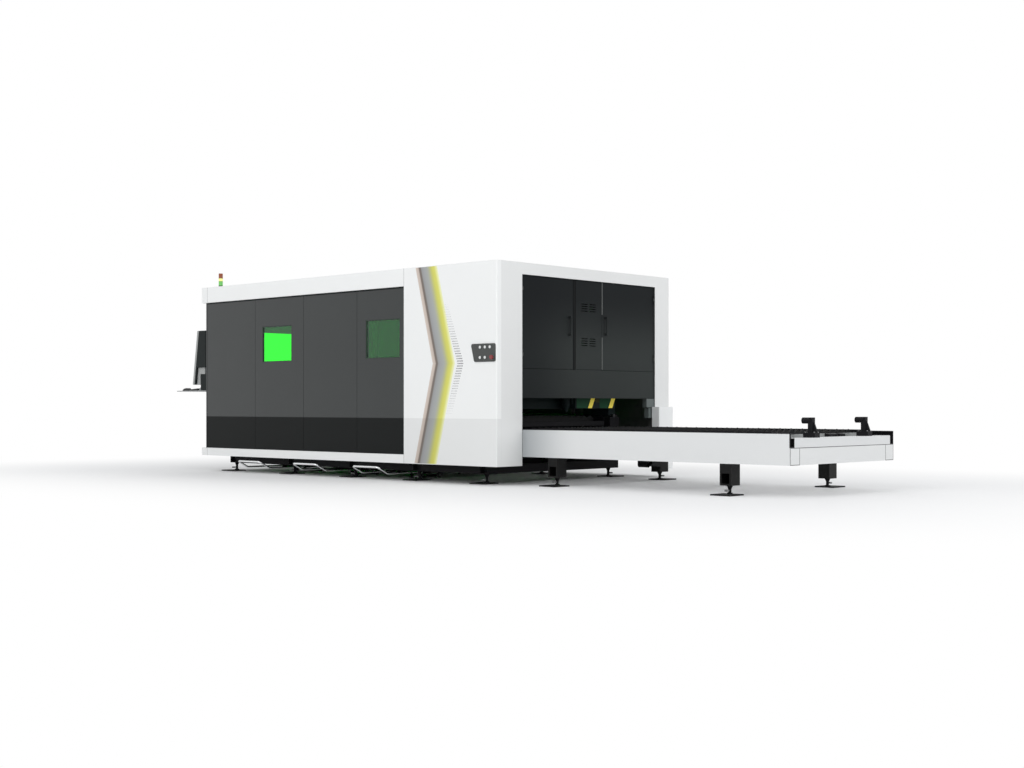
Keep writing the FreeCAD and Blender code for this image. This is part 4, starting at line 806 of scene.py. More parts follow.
# The chevron's colours by the share of its width, from its near edge.
STRIPE_STOPS = (
    (0.0, (0.66, 0.57, 0.51)), (0.12, (0.53, 0.445, 0.39)), (0.165, (0.165, 0.132, 0.112)),
    (0.225, (0.165, 0.138, 0.12)), (0.265, (0.29, 0.29, 0.288)), (0.35, (0.33, 0.338, 0.345)),
    (0.52, (0.37, 0.388, 0.37)), (0.62, (0.44, 0.45, 0.27)), (0.7, (0.545, 0.55, 0.15)),
    (0.77, (0.63, 0.62, 0.115)), (0.86, (0.67, 0.67, 0.135)), (0.925, (0.76, 0.77, 0.3)),
    (0.98, (0.85, 0.86, 0.5)),
)


def shared_finishes() -> tuple[Finish, ...]:
    """Returns every finish that nodes and pieces share."""
    lower_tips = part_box("lower_pallet_slats")[1].z
    upper_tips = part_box("upper_pallet_slats")[1].z
    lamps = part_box("signal_tower")[1].z - sum(LAMP_HEIGHTS)
    return (
        PowderCoat("cabinet_white", (0.86, 0.87, 0.865), tones=CABINET_TONES),
        PowderCoat("roof_white", (0.84, 0.85, 0.85), roughness=0.6, specular=0.15),
        PowderCoat("cover_white", (0.83, 0.845, 0.845)),
        PowderCoat("table_white", (0.74, 0.75, 0.75), specular=0.12, tones=(
            Tone((None, None, None), (None, None, 0.277), 0.011),
            # Painted shade: the table frame past x 3.05 is a tone darker.
            Tone((3.05, None, 0.277), (None, None, None), 0.9))),
        PowderCoat("end_white", (0.62, 0.63, 0.635), tones=(
            # Painted shade: the end beam's near end face is painted almost black.
            Tone((None, None, None), (None, 0.439, None), 0.02),)),
        # Painted shade: the fascia runs from dark next to the portal to its own white.
        PaintedShadeCoat("fascia_white", (0.35, 0.375, 0.39), (0.735, 0.745, 0.745), (-0.15, 0.75)),
        PowderCoat("light_grey_coat", (0.34, 0.35, 0.345), roughness=0.5),
        PowderCoat("tray_grey", (0.3, 0.31, 0.31), roughness=0.5),
        PowderCoat("latch_grey", (0.1, 0.12, 0.118), roughness=0.5),
        PowderCoat("black_coat", (0.009, 0.009, 0.0105), roughness=0.55, mottle=0.2, dust=0.05,
                   specular=0.12),
        PowderCoat("bed_coat", (0.012, 0.012, 0.0135), roughness=0.6, mottle=0.3, peel=0.0002,
                   dust=0.03, specular=0.1),
        PowderCoat("slot_black", (0.012, 0.02, 0.02), roughness=0.6, mottle=0.2, specular=0.12),
        PowderCoat("console_dark", (0.015, 0.019, 0.019), roughness=0.55, mottle=0.1,
                   specular=0.12),
        PowderCoat("plate_grey", (0.046, 0.05, 0.048), roughness=0.45),
        GlossCladding("dark_cladding", (0.0115, 0.0155, 0.0158), (0.0095, 0.0108, 0.0108),
                      (0.05, 0.05, 0.053), coat=0.9,
                      inside=((-4.865, 0.04, None), (None, 2.73, None))),
        DoorCoat("door_coat", (0.008, 0.0095, 0.011), (0.036, 0.041, 0.04), (1.25, 1.95),
                 (0.45, 1.35), reveal=(1.15, 1.196), reveal_bottom=1.15),
        Metal("rail_steel", (0.3, 0.3, 0.31), 0.35),
        Metal("shaft_steel", (0.42, 0.42, 0.43), 0.3, Axis.Y),
        Metal("wheel_steel", (0.3, 0.3, 0.31), 0.35, Axis.Y),
        Metal("polished_chrome", (0.82, 0.83, 0.84), 0.1, Axis.Y, stain=0.06,
              grain_height=0.00001),
        Metal("screw_steel", (0.2, 0.2, 0.205), 0.4, Axis.Z),
        ScorchedSteel("lower_slat_steel", (lower_tips - 0.05, lower_tips)),
        ScorchedSteel("upper_slat_steel", (upper_tips - 0.05, upper_tips)),
        Moulded("black_plastic", (0.012, 0.012, 0.013)),
        Moulded("key_plastic", (0.03, 0.031, 0.033), 0.5),
        Moulded("white_plastic", (0.76, 0.77, 0.76), 0.28, coat=0.3),
        Moulded("red_plastic", (0.24, 0.03, 0.032), 0.3, coat=0.3),
        Moulded("seal_rubber", (0.02, 0.05, 0.026), 0.7, grain=0.0002),
        Moulded("wheel_rubber", (0.014, 0.014, 0.014), 0.65, grain=0.0002),
        Moulded("display_glass", (0.006, 0.007, 0.009), 0.08, grain=0.0, coat=1.0),
        LaserGlass("laser_glass", (0.1, 0.98, 0.17), (0.004, 0.014, 0.014)),
        LampStack("lamp_lenses", lamps, LAMP_HEIGHTS),
        StripeInk("stripe_ink", STRIPE_STOPS, "across", 0.88),
        PrintedInk("dot_ink", (0.15, 0.138, 0.165)),
        PrintedInk("joint_grey", (0.3, 0.3, 0.3)),
        PrintedInk("joint_mid", (0.09, 0.09, 0.092)),
        # Painted highlight: the pale strip along the right door's edge.
        PrintedInk("door_trim_pale", (0.11, 0.118, 0.115)),
        PrintedInk("door_trim_dark", (0.007, 0.009, 0.01), 0.5, 0.1),
        # Painted light: the yellow bars glow so that they look lit in the slot's shade.
        PrintedInk("marker_yellow", (0.95, 0.78, 0.12), 0.5, 0.12, glow=0.18),
        # Painted shadow beside the first yellow bar.
        PrintedInk("marker_olive", (0.05, 0.055, 0.014), 0.5, 0.12),
        PrintedInk("marker_green", (0.0085, 0.066, 0.028), 0.5, 0.12),
    )


NODE_FINISHES = {
    "cabinet_white": ("enclosure_frame", "front_portal"),
    "roof_white": ("roof",),
    "cover_white": ("drive_cover",),
    "table_white": ("table_frame",),
    "end_white": ("table_end_beam",),
    "fascia_white": ("table_fascia",),
    "light_grey_coat": ("console_arm",),
    "tray_grey": ("keyboard_tray",),
    "latch_grey": ("pallet_latch",),
    "black_coat": ("tracks", "console_bracket", "pallet_stops", "leveling_feet",
                   *(f"{level}_pallet_frame" for level in LEVELS),
                   *(f"cart_{number}" for number in CARTS)),
    "bed_coat": ("bed_frame",),
    "slot_black": ("gantry_beam", "head_carriage", "cutting_head"),
    "console_dark": ("console_housing", "control_box"),
    "plate_grey": ("button_plate",),
    "dark_cladding": ("near_panels", "far_panels", "rear_panels"),
    "door_coat": ("left_door", "right_door", "end_panel"),
    "rail_steel": ("gantry_rails",),
    "shaft_steel": ("drive_shaft",),
    "wheel_steel": tuple(f"{level}_pallet_wheels_{end}" for level in LEVELS for end in ENDS),
    "polished_chrome": tuple(f"cart_{number}_handle" for number in CARTS),
    "lower_slat_steel": ("lower_pallet_slats",),
    "upper_slat_steel": ("upper_pallet_slats",),
    "black_plastic": ("keyboard", "mouse"),
    "white_plastic": tuple(f"push_button_{number}" for number in BUTTONS),
    "red_plastic": ("emergency_stop",),
    "wheel_rubber": tuple(f"cart_{number}_{end}_wheels" for number in CARTS for end in ENDS),
    "display_glass": ("screen",),
    "laser_glass": ("windows",),
    "lamp_lenses": ("signal_tower",),
}


@dataclass
class Workshop:
    """What every sub-assembly needs: the machine's datum and the shared paints."""

    datum: Vector
    paints: dict[str, bpy.types.Material]

    @classmethod
    def open(cls) -> "Workshop":
        """Returns the workshop with the datum read from the portal and every paint mixed."""
        low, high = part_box("front_portal")
        datum = Vector((high.x, low.y, 0.0))
        return cls(datum, {finish.name: finish.material(datum) for finish in shared_finishes()})

    def box(self, node: str) -> tuple[Vector, Vector]:
        """Returns a CAD node's lowest and highest corner from the datum."""
        low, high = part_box(node)
        return low - self.datum, high - self.datum

    def middle(self, node: str) -> tuple[float, ...]:
        """Returns the middle of a CAD node's box from the datum."""
        return tuple((least + most) / 2 for least, most in zip(*self.box(node)))

    def shape(self) -> "Shape":
        """Returns an empty shape that is built from the datum."""
        return Shape(self)

    def dress(self, nodes: dict[str, bpy.types.Object]) -> None:
        """Gives every CAD node its finish.

        Args:
            nodes: The frame's nodes by name.
        """
        for finish, names in NODE_FINISHES.items():
            for name in names:
                for place in nodes[name].material_slots:
                    place.material = self.paints[finish]
                LOG.info("%s dressed in %s", name, finish)


# ----------------------------------------------------------------------------------------------
# Meshes
# ----------------------------------------------------------------------------------------------


def inset(span: Span, margin: float) -> Span:
    """Returns the span, shorter by the margin at both ends."""
    return span[0] + margin, span[1] - margin


def corners(across: Span, heights: Span) -> list[Span]:
    """Returns a rectangle's corners in order, each as its place across and its height."""
    (start, end), (bottom, top) = across, heights
    return [(start, bottom), (end, bottom), (end, top), (start, top)]


def upright(facing: Axis, place: float, across: Span, heights: Span) -> list[Vector]:
    """Stands a rectangle up in the machine's frame.

    Args:
        facing: The level axis that it faces along.
        place: Its place on that axis.
        across: Its start and end on the other level axis.
        heights: Its bottom and its top.

    Returns:
        Its corners, in order.
    """
    return [Vector((place, along, height) if facing is Axis.X else (along, place, height))
            for along, height in corners(across, heights)]


class Shape:
    """Collects solids and turns them into one object."""

    BEVEL_STEPS = 2
    BEVEL_PROFILE = 0.6
    # Edges sharper than this many degrees stay sharp.
    SMOOTH_ANGLE = 35.0
    # A bolt's proportions, as shares of its head's radius.
    WASHER_RADIUS = 1.3
    WASHER_HEIGHT = 0.18
    HEAD_HEIGHT = 0.7
    HEAD_CHAMFER = 0.12
    HEAD_CROWN = 0.84

    def __init__(self, shop: Workshop) -> None:
        """Starts empty.

        Args:
            shop: Where the datum and the paints are.
        """
        self.shop = shop
        self.mesh = bmesh.new()

    def prism(self, outline: Iterable[Sequence[float]], offset: Sequence[float],
              bevel: float = 0.0) -> None:
        """Sweeps a flat outline along a straight offset.

        Args:
            outline: The corner points, in order.
            offset: The sweep.
            bevel: How far all its edges are rounded.
        """
        ring = [self.mesh.verts.new(point) for point in outline]
        step = Vector(offset)
        twin = [self.mesh.verts.new(vert.co + step) for vert in ring]
        faces = [self.mesh.faces.new(ring[::-1]), self.mesh.faces.new(twin)]
        for index in range(len(ring)):
            after = (index + 1) % len(ring)
            faces.append(self.mesh.faces.new((ring[index], ring[after], twin[after], twin[index])))
        bmesh.ops.recalc_face_normals(self.mesh, faces=faces)
        if bevel:
            edges = {edge for face in faces for edge in face.edges}
            bmesh.ops.bevel(self.mesh, geom=list(edges), offset=bevel, segments=self.BEVEL_STEPS,
                            profile=self.BEVEL_PROFILE, affect="EDGES", clamp_overlap=True)

    def block(self, low: Sequence[float], high: Sequence[float], bevel: float = 0.0) -> None:
        """Adds an upright block.

        Args:
            low: Its lowest corner.
            high: Its highest corner.
            bevel: The edges' rounding.
        """
        outline = [(low[0], low[1], low[2]), (high[0], low[1], low[2]),
                   (high[0], high[1], low[2]), (low[0], high[1], low[2])]
        self.prism(outline, (0, 0, high[2] - low[2]), bevel)

    def frame(self, outer: Sequence[Vector], inner: Sequence[Vector],
              offset: Sequence[float], bevel: float = 0.0) -> None:
        """Adds a four-sided frame with mitred corners.

        Args:
            outer: Its outer corners, in order.
            inner: Its inner corners, in the same order.
            offset: Its thickness.
            bevel: The edges' rounding.
        """
        for index in range(4):
            after = (index + 1) % 4
            self.prism([outer[index], outer[after], inner[after], inner[index]], offset, bevel)

    def lathe(self, profile: Sequence[tuple[float, float]], centre: Sequence[float], axis: Axis,
              segments: int = 24, flip: bool = False, closed: bool = False) -> None:
        """Turns a profile round an axis.

        Args:
            profile: Radius and height of each ring, from one end to the other.
            centre: The axis's foot.
            axis: Its direction.
            segments: Sides of each ring; 6 makes a hexagon.
            flip: Whether the heights run the other way.
            closed: Whether the last ring joins the first, as in a collar, instead of end faces.
        """
        place = Matrix.Translation(Vector(centre)) @ axis.turn()
        rings = []
        for radius, height in profile:
            ring = []
            for index in range(segments):
                angle = 2 * math.pi * index / segments
                point = Vector((radius * math.cos(angle), radius * math.sin(angle),
                                -height if flip else height))
                ring.append(self.mesh.verts.new(place @ point))
            rings.append(ring)
        pairs = list(zip(rings, rings[1:]))
        faces = []
        if closed:
            pairs.append((rings[-1], rings[0]))
        else:
            faces += [self.mesh.faces.new(rings[0][::-1]), self.mesh.faces.new(rings[-1])]
        for low, high in pairs:
            for index in range(segments):
                after = (index + 1) % segments
                faces.append(self.mesh.faces.new((low[index], low[after], high[after],
                                                  high[index])))
        bmesh.ops.recalc_face_normals(self.mesh, faces=faces)

    def stud(self, radii: Span, heights: Span, centre: Sequence[float], axis: Axis,
             segments: int = 16, flip: bool = False) -> None:
        """Adds a round head with a chamfered top.

        Args:
            radii: Its radius at the foot and at the top.
            heights: Where its chamfer starts and ends.
            centre: The middle of its foot.
            axis: Its direction.
            segments: Sides of its rings.
            flip: Whether it points the other way.
        """
        self.lathe([(radii[0], 0.0), (radii[0], heights[0]), (radii[1], heights[1])], centre, axis,
                   segments, flip)

    def bolt(self, centre: Sequence[float], size: float) -> None:
        """Adds an upright hexagon bolt's head on its washer.

        Args:
            centre: Where the washer rests.
            size: The head's radius over its corners.
        """
        washer = size * self.WASHER_HEIGHT
        rim = size * self.WASHER_RADIUS
        self.lathe([(rim, 0.0), (rim, washer)], centre, Axis.Z, 16)
        top = washer + size * self.HEAD_HEIGHT
        self.lathe([(size, washer), (size, top - size * self.HEAD_CHAMFER),
                    (size * self.HEAD_CROWN, top)], centre, Axis.Z, 6)

    def build(self, name: str, paint: str, body: Body, slot: str) -> None:
        """Makes the object.

        Args:
            name: The piece's name.
            paint: Its finish's name.
            body: What it rides on.
            slot: The record's material slot; not used.
        """
        bmesh.ops.translate(self.mesh, verts=self.mesh.verts, vec=self.shop.datum)
        data = bpy.data.meshes.new(name)
        self.mesh.to_mesh(data)
        self.mesh.free()
        piece = bpy.data.objects.new(name, data)
        bpy.context.collection.objects.link(piece)
        data.materials.append(self.shop.paints[paint])
        data.shade_smooth()
        data.set_sharp_from_angle(angle=math.radians(self.SMOOTH_ANGLE))
        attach(piece, body.value)
        LOG.info("%s: %d faces, rides on %s", name, len(data.polygons), body.value)


# ----------------------------------------------------------------------------------------------
# Sub-assemblies
# ----------------------------------------------------------------------------------------------


@dataclass
class Assembly:
    """What every sub-assembly has: the workshop that its pieces are made in."""

    shop: Workshop

    def build(self) -> None:
        """Builds the sub-assembly's pieces."""
        raise NotImplementedError


@dataclass
class Livery(Assembly):
    """The chevron on the portal's near face, its edge of dots and the cabinet's joint lines."""

    apex_height: float = 1.208
    top_edges: Span = (-1.148, -0.835)
    apex_edges: Span = (-0.895, -0.577)
    bottom_edges: Span = (-1.165, -0.841)
    trim: float = 0.006
    rows: int = 16
    columns: int = 12
    proud: float = 0.0006
    dot_rows: int = 45
    dot_columns: int = 5
    dot_pitch: Span = (0.017, 0.0248)
    dot_bottom: float = 0.706
    dot_starts: tuple[float, float, float] = (-0.69, -0.53, -0.752)
    dot_sizes: Span = (0.0066, 0.0016)
    joint_places: Span = (-1.327, -4.807)
    joint_width: float = 0.004
    joint_proud: float = 0.0003

    def build(self) -> None:
        """Builds the ribbon, the dots and the joint lines."""
        self.ribbon()
        self.dots()
        self.joints()

    def ribbon(self) -> None:
        """Builds the bent ribbon as one thin film that knows how far across each point is."""
        low, high = self.shop.box("front_portal")
        shape = self.shop.shape()
        mesh = shape.mesh
        across = mesh.loops.layers.uv.new("across")
        stations = ((high.z - self.trim, self.top_edges), (self.apex_height, self.apex_edges),
                    (low.z + self.trim, self.bottom_edges))
        grid = []
        for (height, edges), (next_height, next_edges) in zip(stations, stations[1:]):
            first = 1 if grid else 0
            for row in range(first, self.rows + 1):
                share = row / self.rows
                left, right = (a + (b - a) * share for a, b in zip(edges, next_edges))
                level = height + (next_height - height) * share
                grid.append([mesh.verts.new((left + (right - left) * column / self.columns, 0.0,
                                             level)) for column in range(self.columns + 1)])
        for above, below in zip(grid, grid[1:]):
            for column in range(self.columns):
                cell = ((below, column), (below, column + 1), (above, column + 1),
                        (above, column))
                face = mesh.faces.new([line[place] for line, place in cell])
                for loop, (_, place) in zip(face.loops, cell):
                    loop[across].uv = (place / self.columns, 0.5)
        sheet = bmesh.ops.extrude_face_region(mesh, geom=mesh.faces[:])
        front = [part for part in sheet["geom"] if isinstance(part, bmesh.types.BMVert)]
        bmesh.ops.translate(mesh, verts=front, vec=(0.0, -self.proud, 0.0))
        bmesh.ops.recalc_face_normals(mesh, faces=mesh.faces[:])
        shape.build("chevron_ribbon", "stripe_ink", Body.MACHINE, "white_paint")

    def dots(self) -> None:
        """Builds the dots beside the chevron, largest at the apex and fading up and down."""
        shape = self.shop.shape()
        step_x, step_z = self.dot_pitch
        top = self.dot_bottom + (self.dot_rows - 1) * step_z
        for row in range(self.dot_rows):
            height = self.dot_bottom + row * step_z
            upper = height > self.apex_height
            reach = (top if upper else self.dot_bottom) - self.apex_height
            share = (height - self.apex_height) / reach
            start = self.dot_starts[1] + (self.dot_starts[2 if upper else 0]
                                          - self.dot_starts[1]) * share
            radius = self.dot_sizes[0] + (self.dot_sizes[1] - self.dot_sizes[0]) * share
            for column in range(self.dot_columns):
                shape.lathe([(radius, 0.0), (radius, self.proud)],
                            (start + column * step_x, 0.0, height), Axis.Y, 10, flip=True)
        shape.build("halftone_dots", "dot_ink", Body.MACHINE, "dark_paint")

    def joints(self) -> None:
        """Builds the thin lines where the rails' end pieces butt against their runs."""
        low, high = self.shop.box("enclosure_frame")
        rails = ((low.z, CLADDING_HEIGHTS[0]), (CLADDING_HEIGHTS[1], high.z))
        shape = self.shop.shape()
        for x in self.joint_places:
            line = inset((x, x), -self.joint_width / 2)
            for rail in rails:
                for face, way in ((low.y, -1), (high.y, 1)):
                    shape.prism(upright(Axis.Y, face, line, rail),
                                (0.0, way * self.joint_proud, 0.0))
        shape.build("rail_joint_lines", "joint_grey", Body.MACHINE, "light_grey_paint")


@dataclass
class Windows(Assembly):
    """Rubber seals that hold the laser-safe panes in their panels' holes."""

    starts: Span = (-3.7655, -1.9605)
    width: float = 0.536
    heights: Span = (1.283, 1.691)
    seal_width: float = 0.009
    near_depth: Span = (0.037, 0.044)
    bevel: float = 0.001

    def build(self) -> None:
        """Builds a seal round the outer face of each pane on both long sides."""
        far_face = self.shop.box("enclosure_frame")[1].y
        shape = self.shop.shape()
        for start in self.starts:
            across = (start, start + self.width)
            for front, back in (self.near_depth,
                                tuple(far_face - depth for depth in self.near_depth)):
                outer = upright(Axis.Y, front, across, self.heights)
                inner = upright(Axis.Y, front, inset(across, self.seal_width),
                                inset(self.heights, self.seal_width))
                shape.frame(outer, inner, (0.0, back - front, 0.0), self.bevel)
        shape.build("window_seals", "seal_rubber", Body.MACHINE, "rubber")


@dataclass
class PostCovers(Assembly):
    """Cladding strips over the posts, flush with the panels, that leave a gap at one edge."""

    posts: tuple[Span, ...] = ((-3.970, -3.905), (-3.138, -3.018), (-2.172, -2.106))
    depth: Span = (0.035, 0.038)
    gaps: Span = (0.0003, 0.002)

    def build(self) -> None:
        """Builds the covers of both long sides."""
        far_face = self.shop.box("enclosure_frame")[1].y
        shape = self.shop.shape()
        bottom, top = CLADDING_HEIGHTS
        for start, end in self.posts:
            for front, back in (self.depth, (far_face - self.depth[1], far_face - self.depth[0])):
                shape.block((start + self.gaps[0], front, bottom), (end - self.gaps[1], back, top))
        shape.build("post_covers", "dark_cladding", Body.MACHINE, "infill_paint")


@dataclass
class ButtonPanel(Assembly):
    """Rings round the buttons, caps on them, the stop button's grip and the plate's screws."""

    ring_width: float = 0.004
    ring_height: float = 0.0035
    ring_bevel: float = 0.001
    ring_gap: float = 0.0003
    cap_radii: Span = (0.72, 0.6)
    cap_heights: Span = (0.0006, 0.001)
    grip_radii: tuple[float, float, float] = (0.5, 0.4, 0.3)
    grip_heights: Span = (0.0012, 0.0016)
    screw_radii: Span = (0.004, 0.0024)
    screw_heights: Span = (0.0008, 0.0018)
    screw_margin: float = 0.018
    screw_starts: Span = (0.03, 0.05)

    def build(self) -> None:
        """Builds the rings, the caps on the buttons, the grip and the screws."""
        face = self.shop.box("button_plate")[0].y
        rings = self.shop.shape()
        for number in BUTTONS:
            self.ring(rings, f"push_button_{number}", face)
            self.cap(number)
        self.ring(rings, "emergency_stop", face)
        rings.build("button_rings", "latch_grey", Body.MACHINE, "dark_paint")
        self.grip()
        self.screws()

    def button(self, node: str) -> tuple[float, float, float, float]:
        """Returns a button's radius, its middle's x and z and its front's y."""
        low, high = self.shop.box(node)
        x, _, z = self.shop.middle(node)
        return (high.x - low.x) / 2, x, z, low.y

    def ring(self, shape: Shape, node: str, face: float) -> None:
        """Adds one bevelled ring on the plate, round a button that moves inside it.

        Args:
            shape: Where it goes.
            node: The button.
            face: The y of the plate's face.
        """
        radius, x, z, _ = self.button(node)
        inner = radius + self.ring_gap
        outer = inner + self.ring_width
        bevel = self.ring_bevel
        shape.lathe([(inner, 0.0), (inner, self.ring_height), (outer - bevel, self.ring_height),
                     (outer, self.ring_height - bevel), (outer, 0.0)], (x, face, z), Axis.Y, 28,
                    flip=True, closed=True)

    def cap(self, number: int) -> None:
        """Builds the raised cap on one push button, whose number it takes."""
        radius, x, z, front = self.button(f"push_button_{number}")
        foot, top = (radius * share for share in self.cap_radii)
        shape = self.shop.shape()
        shape.stud((foot, top), self.cap_heights, (x, front, z), Axis.Y, 24, flip=True)
        shape.build(f"button_{number}_cap", "white_plastic", Body[f"BUTTON_{number}"],
                    "white_plastic")

    def grip(self) -> None:
        """Builds the raised ring on the stop button's mushroom."""
        radius, x, z, front = self.button("emergency_stop")
        outer, crest, inner = (radius * share for share in self.grip_radii)
        shape = self.shop.shape()
        shape.lathe([(outer, 0.0), (outer, self.grip_heights[0]), (crest, self.grip_heights[1]),
                     (inner, 0.0)], (x, front, z), Axis.Y, 28, flip=True, closed=True)
        shape.build("stop_button_ring", "red_plastic", Body.STOP_BUTTON, "red_plastic")

    def screws(self) -> None:
        """Builds a screw in each corner of the plate, whose near edge leans."""
        low, high = self.shop.box("button_plate")
        margin = self.screw_margin
        shape = self.shop.shape()
        for start, z in zip(self.screw_starts, (high.z - margin, low.z + margin)):
            for x in (low.x + start, high.x - margin):
                shape.stud(self.screw_radii, self.screw_heights, (x, low.y, z), Axis.Y, flip=True)
        shape.build("plate_screws", "plate_grey", Body.MACHINE, "dark_paint")


@dataclass
class DoorTrim(Assembly):
    """Painted highlight along the right door's edge, as a thin pale strip, and joint lines of the
    centre panel, above the pallet slot.
    """

    # The pale strip of painted highlight along the right door's edge.
    edge: Span = (1.616, 1.626)
    edge_heights: tuple[Span, ...] = ((1.162, 1.5), (1.74, 2.075))
    side_seam: tuple[Span, Span] = ((1.16, 1.172), (1.16, 2.07))
    foot_seam: tuple[Span, Span] = ((1.205, 1.6), (1.154, 1.16))
    proud: float = 0.001

    def build(self) -> None:
        """Builds the pale strip of painted highlight, which stops for the door's handle, and the
        lines.
        """
        face = self.shop.box("end_panel")[1].x
        strip = self.shop.shape()
        for heights in self.edge_heights:
            strip.prism(upright(Axis.X, face, self.edge, heights), (self.proud, 0, 0))
        strip.build("right_door_edge", "door_trim_pale", Body.RIGHT_DOOR, "light_grey_paint")
        seam = self.shop.shape()
        for (start, end), (bottom, top) in (self.side_seam, self.foot_seam):
            seam.block((face, start, bottom), (face + self.proud, end, top))
        seam.build("centre_panel_seam", "door_trim_dark", Body.MACHINE, "infill_paint")


@dataclass
class CarriageMarks(Assembly):
    """Green fields, slanted yellow bars and a painted shadow low on the carriage's front."""

    heights: Span = (0.752, 0.877)
    slant: float = 0.058
    proud: float = 0.002
    green_fields: tuple[Span, ...] = ((1.469, 1.652), (1.848, 1.995))
    bars: tuple[Span, ...] = ((1.655, 1.719), (1.998, 2.062))
    # Painted shadow: a dull olive patch beside the first bar, from halfway up to the top.
    shadow: Span = (1.722, 1.845)

    def build(self) -> None:
        """Builds two fields, two bars and the painted shadow beside the first bar."""
        low, high = self.shop.box("head_carriage")
        bottom = max(self.heights[0], low.z + self.proud)
        fields = self.shop.shape()
        for start, end in self.green_fields:
            self.slab(fields, high.x, (start, end), bottom, 0.0, self.slant)
        fields.build("carriage_fields", "marker_green", Body.CARRIAGE, "white_paint")
        bars = self.shop.shape()
        for start, end in self.bars:
            self.slab(bars, high.x, (start, end), bottom, self.slant, self.slant)
        bars.build("carriage_bars", "marker_yellow", Body.CARRIAGE, "white_paint")
        shadow_patch = self.shop.shape()
        self.slab(shadow_patch, high.x, (self.shadow[0] + self.slant, self.shadow[1]),
                  (bottom + self.heights[1]) / 2, 0.0, 0.0)
        shadow_patch.build("carriage_dull_field", "marker_olive", Body.CARRIAGE, "white_paint")

    def slab(self, shape: Shape, face: float, across: Span, bottom: float, left_slant: float,
             right_slant: float) -> None:
        """Adds one thin field.

        Args:
            shape: Where it goes.
            face: The x of the carriage's front.
            across: Its y at the bottom.
            bottom: Its lowest z.
            left_slant: How far its near side leans over.
            right_slant: How far its far side leans over.
        """
        start, end = across
        top = self.heights[1]
        shape.prism([(face, start, bottom), (face, end, bottom), (face, end + right_slant, top),
                     (face, start + left_slant, top)], (self.proud, 0, 0))


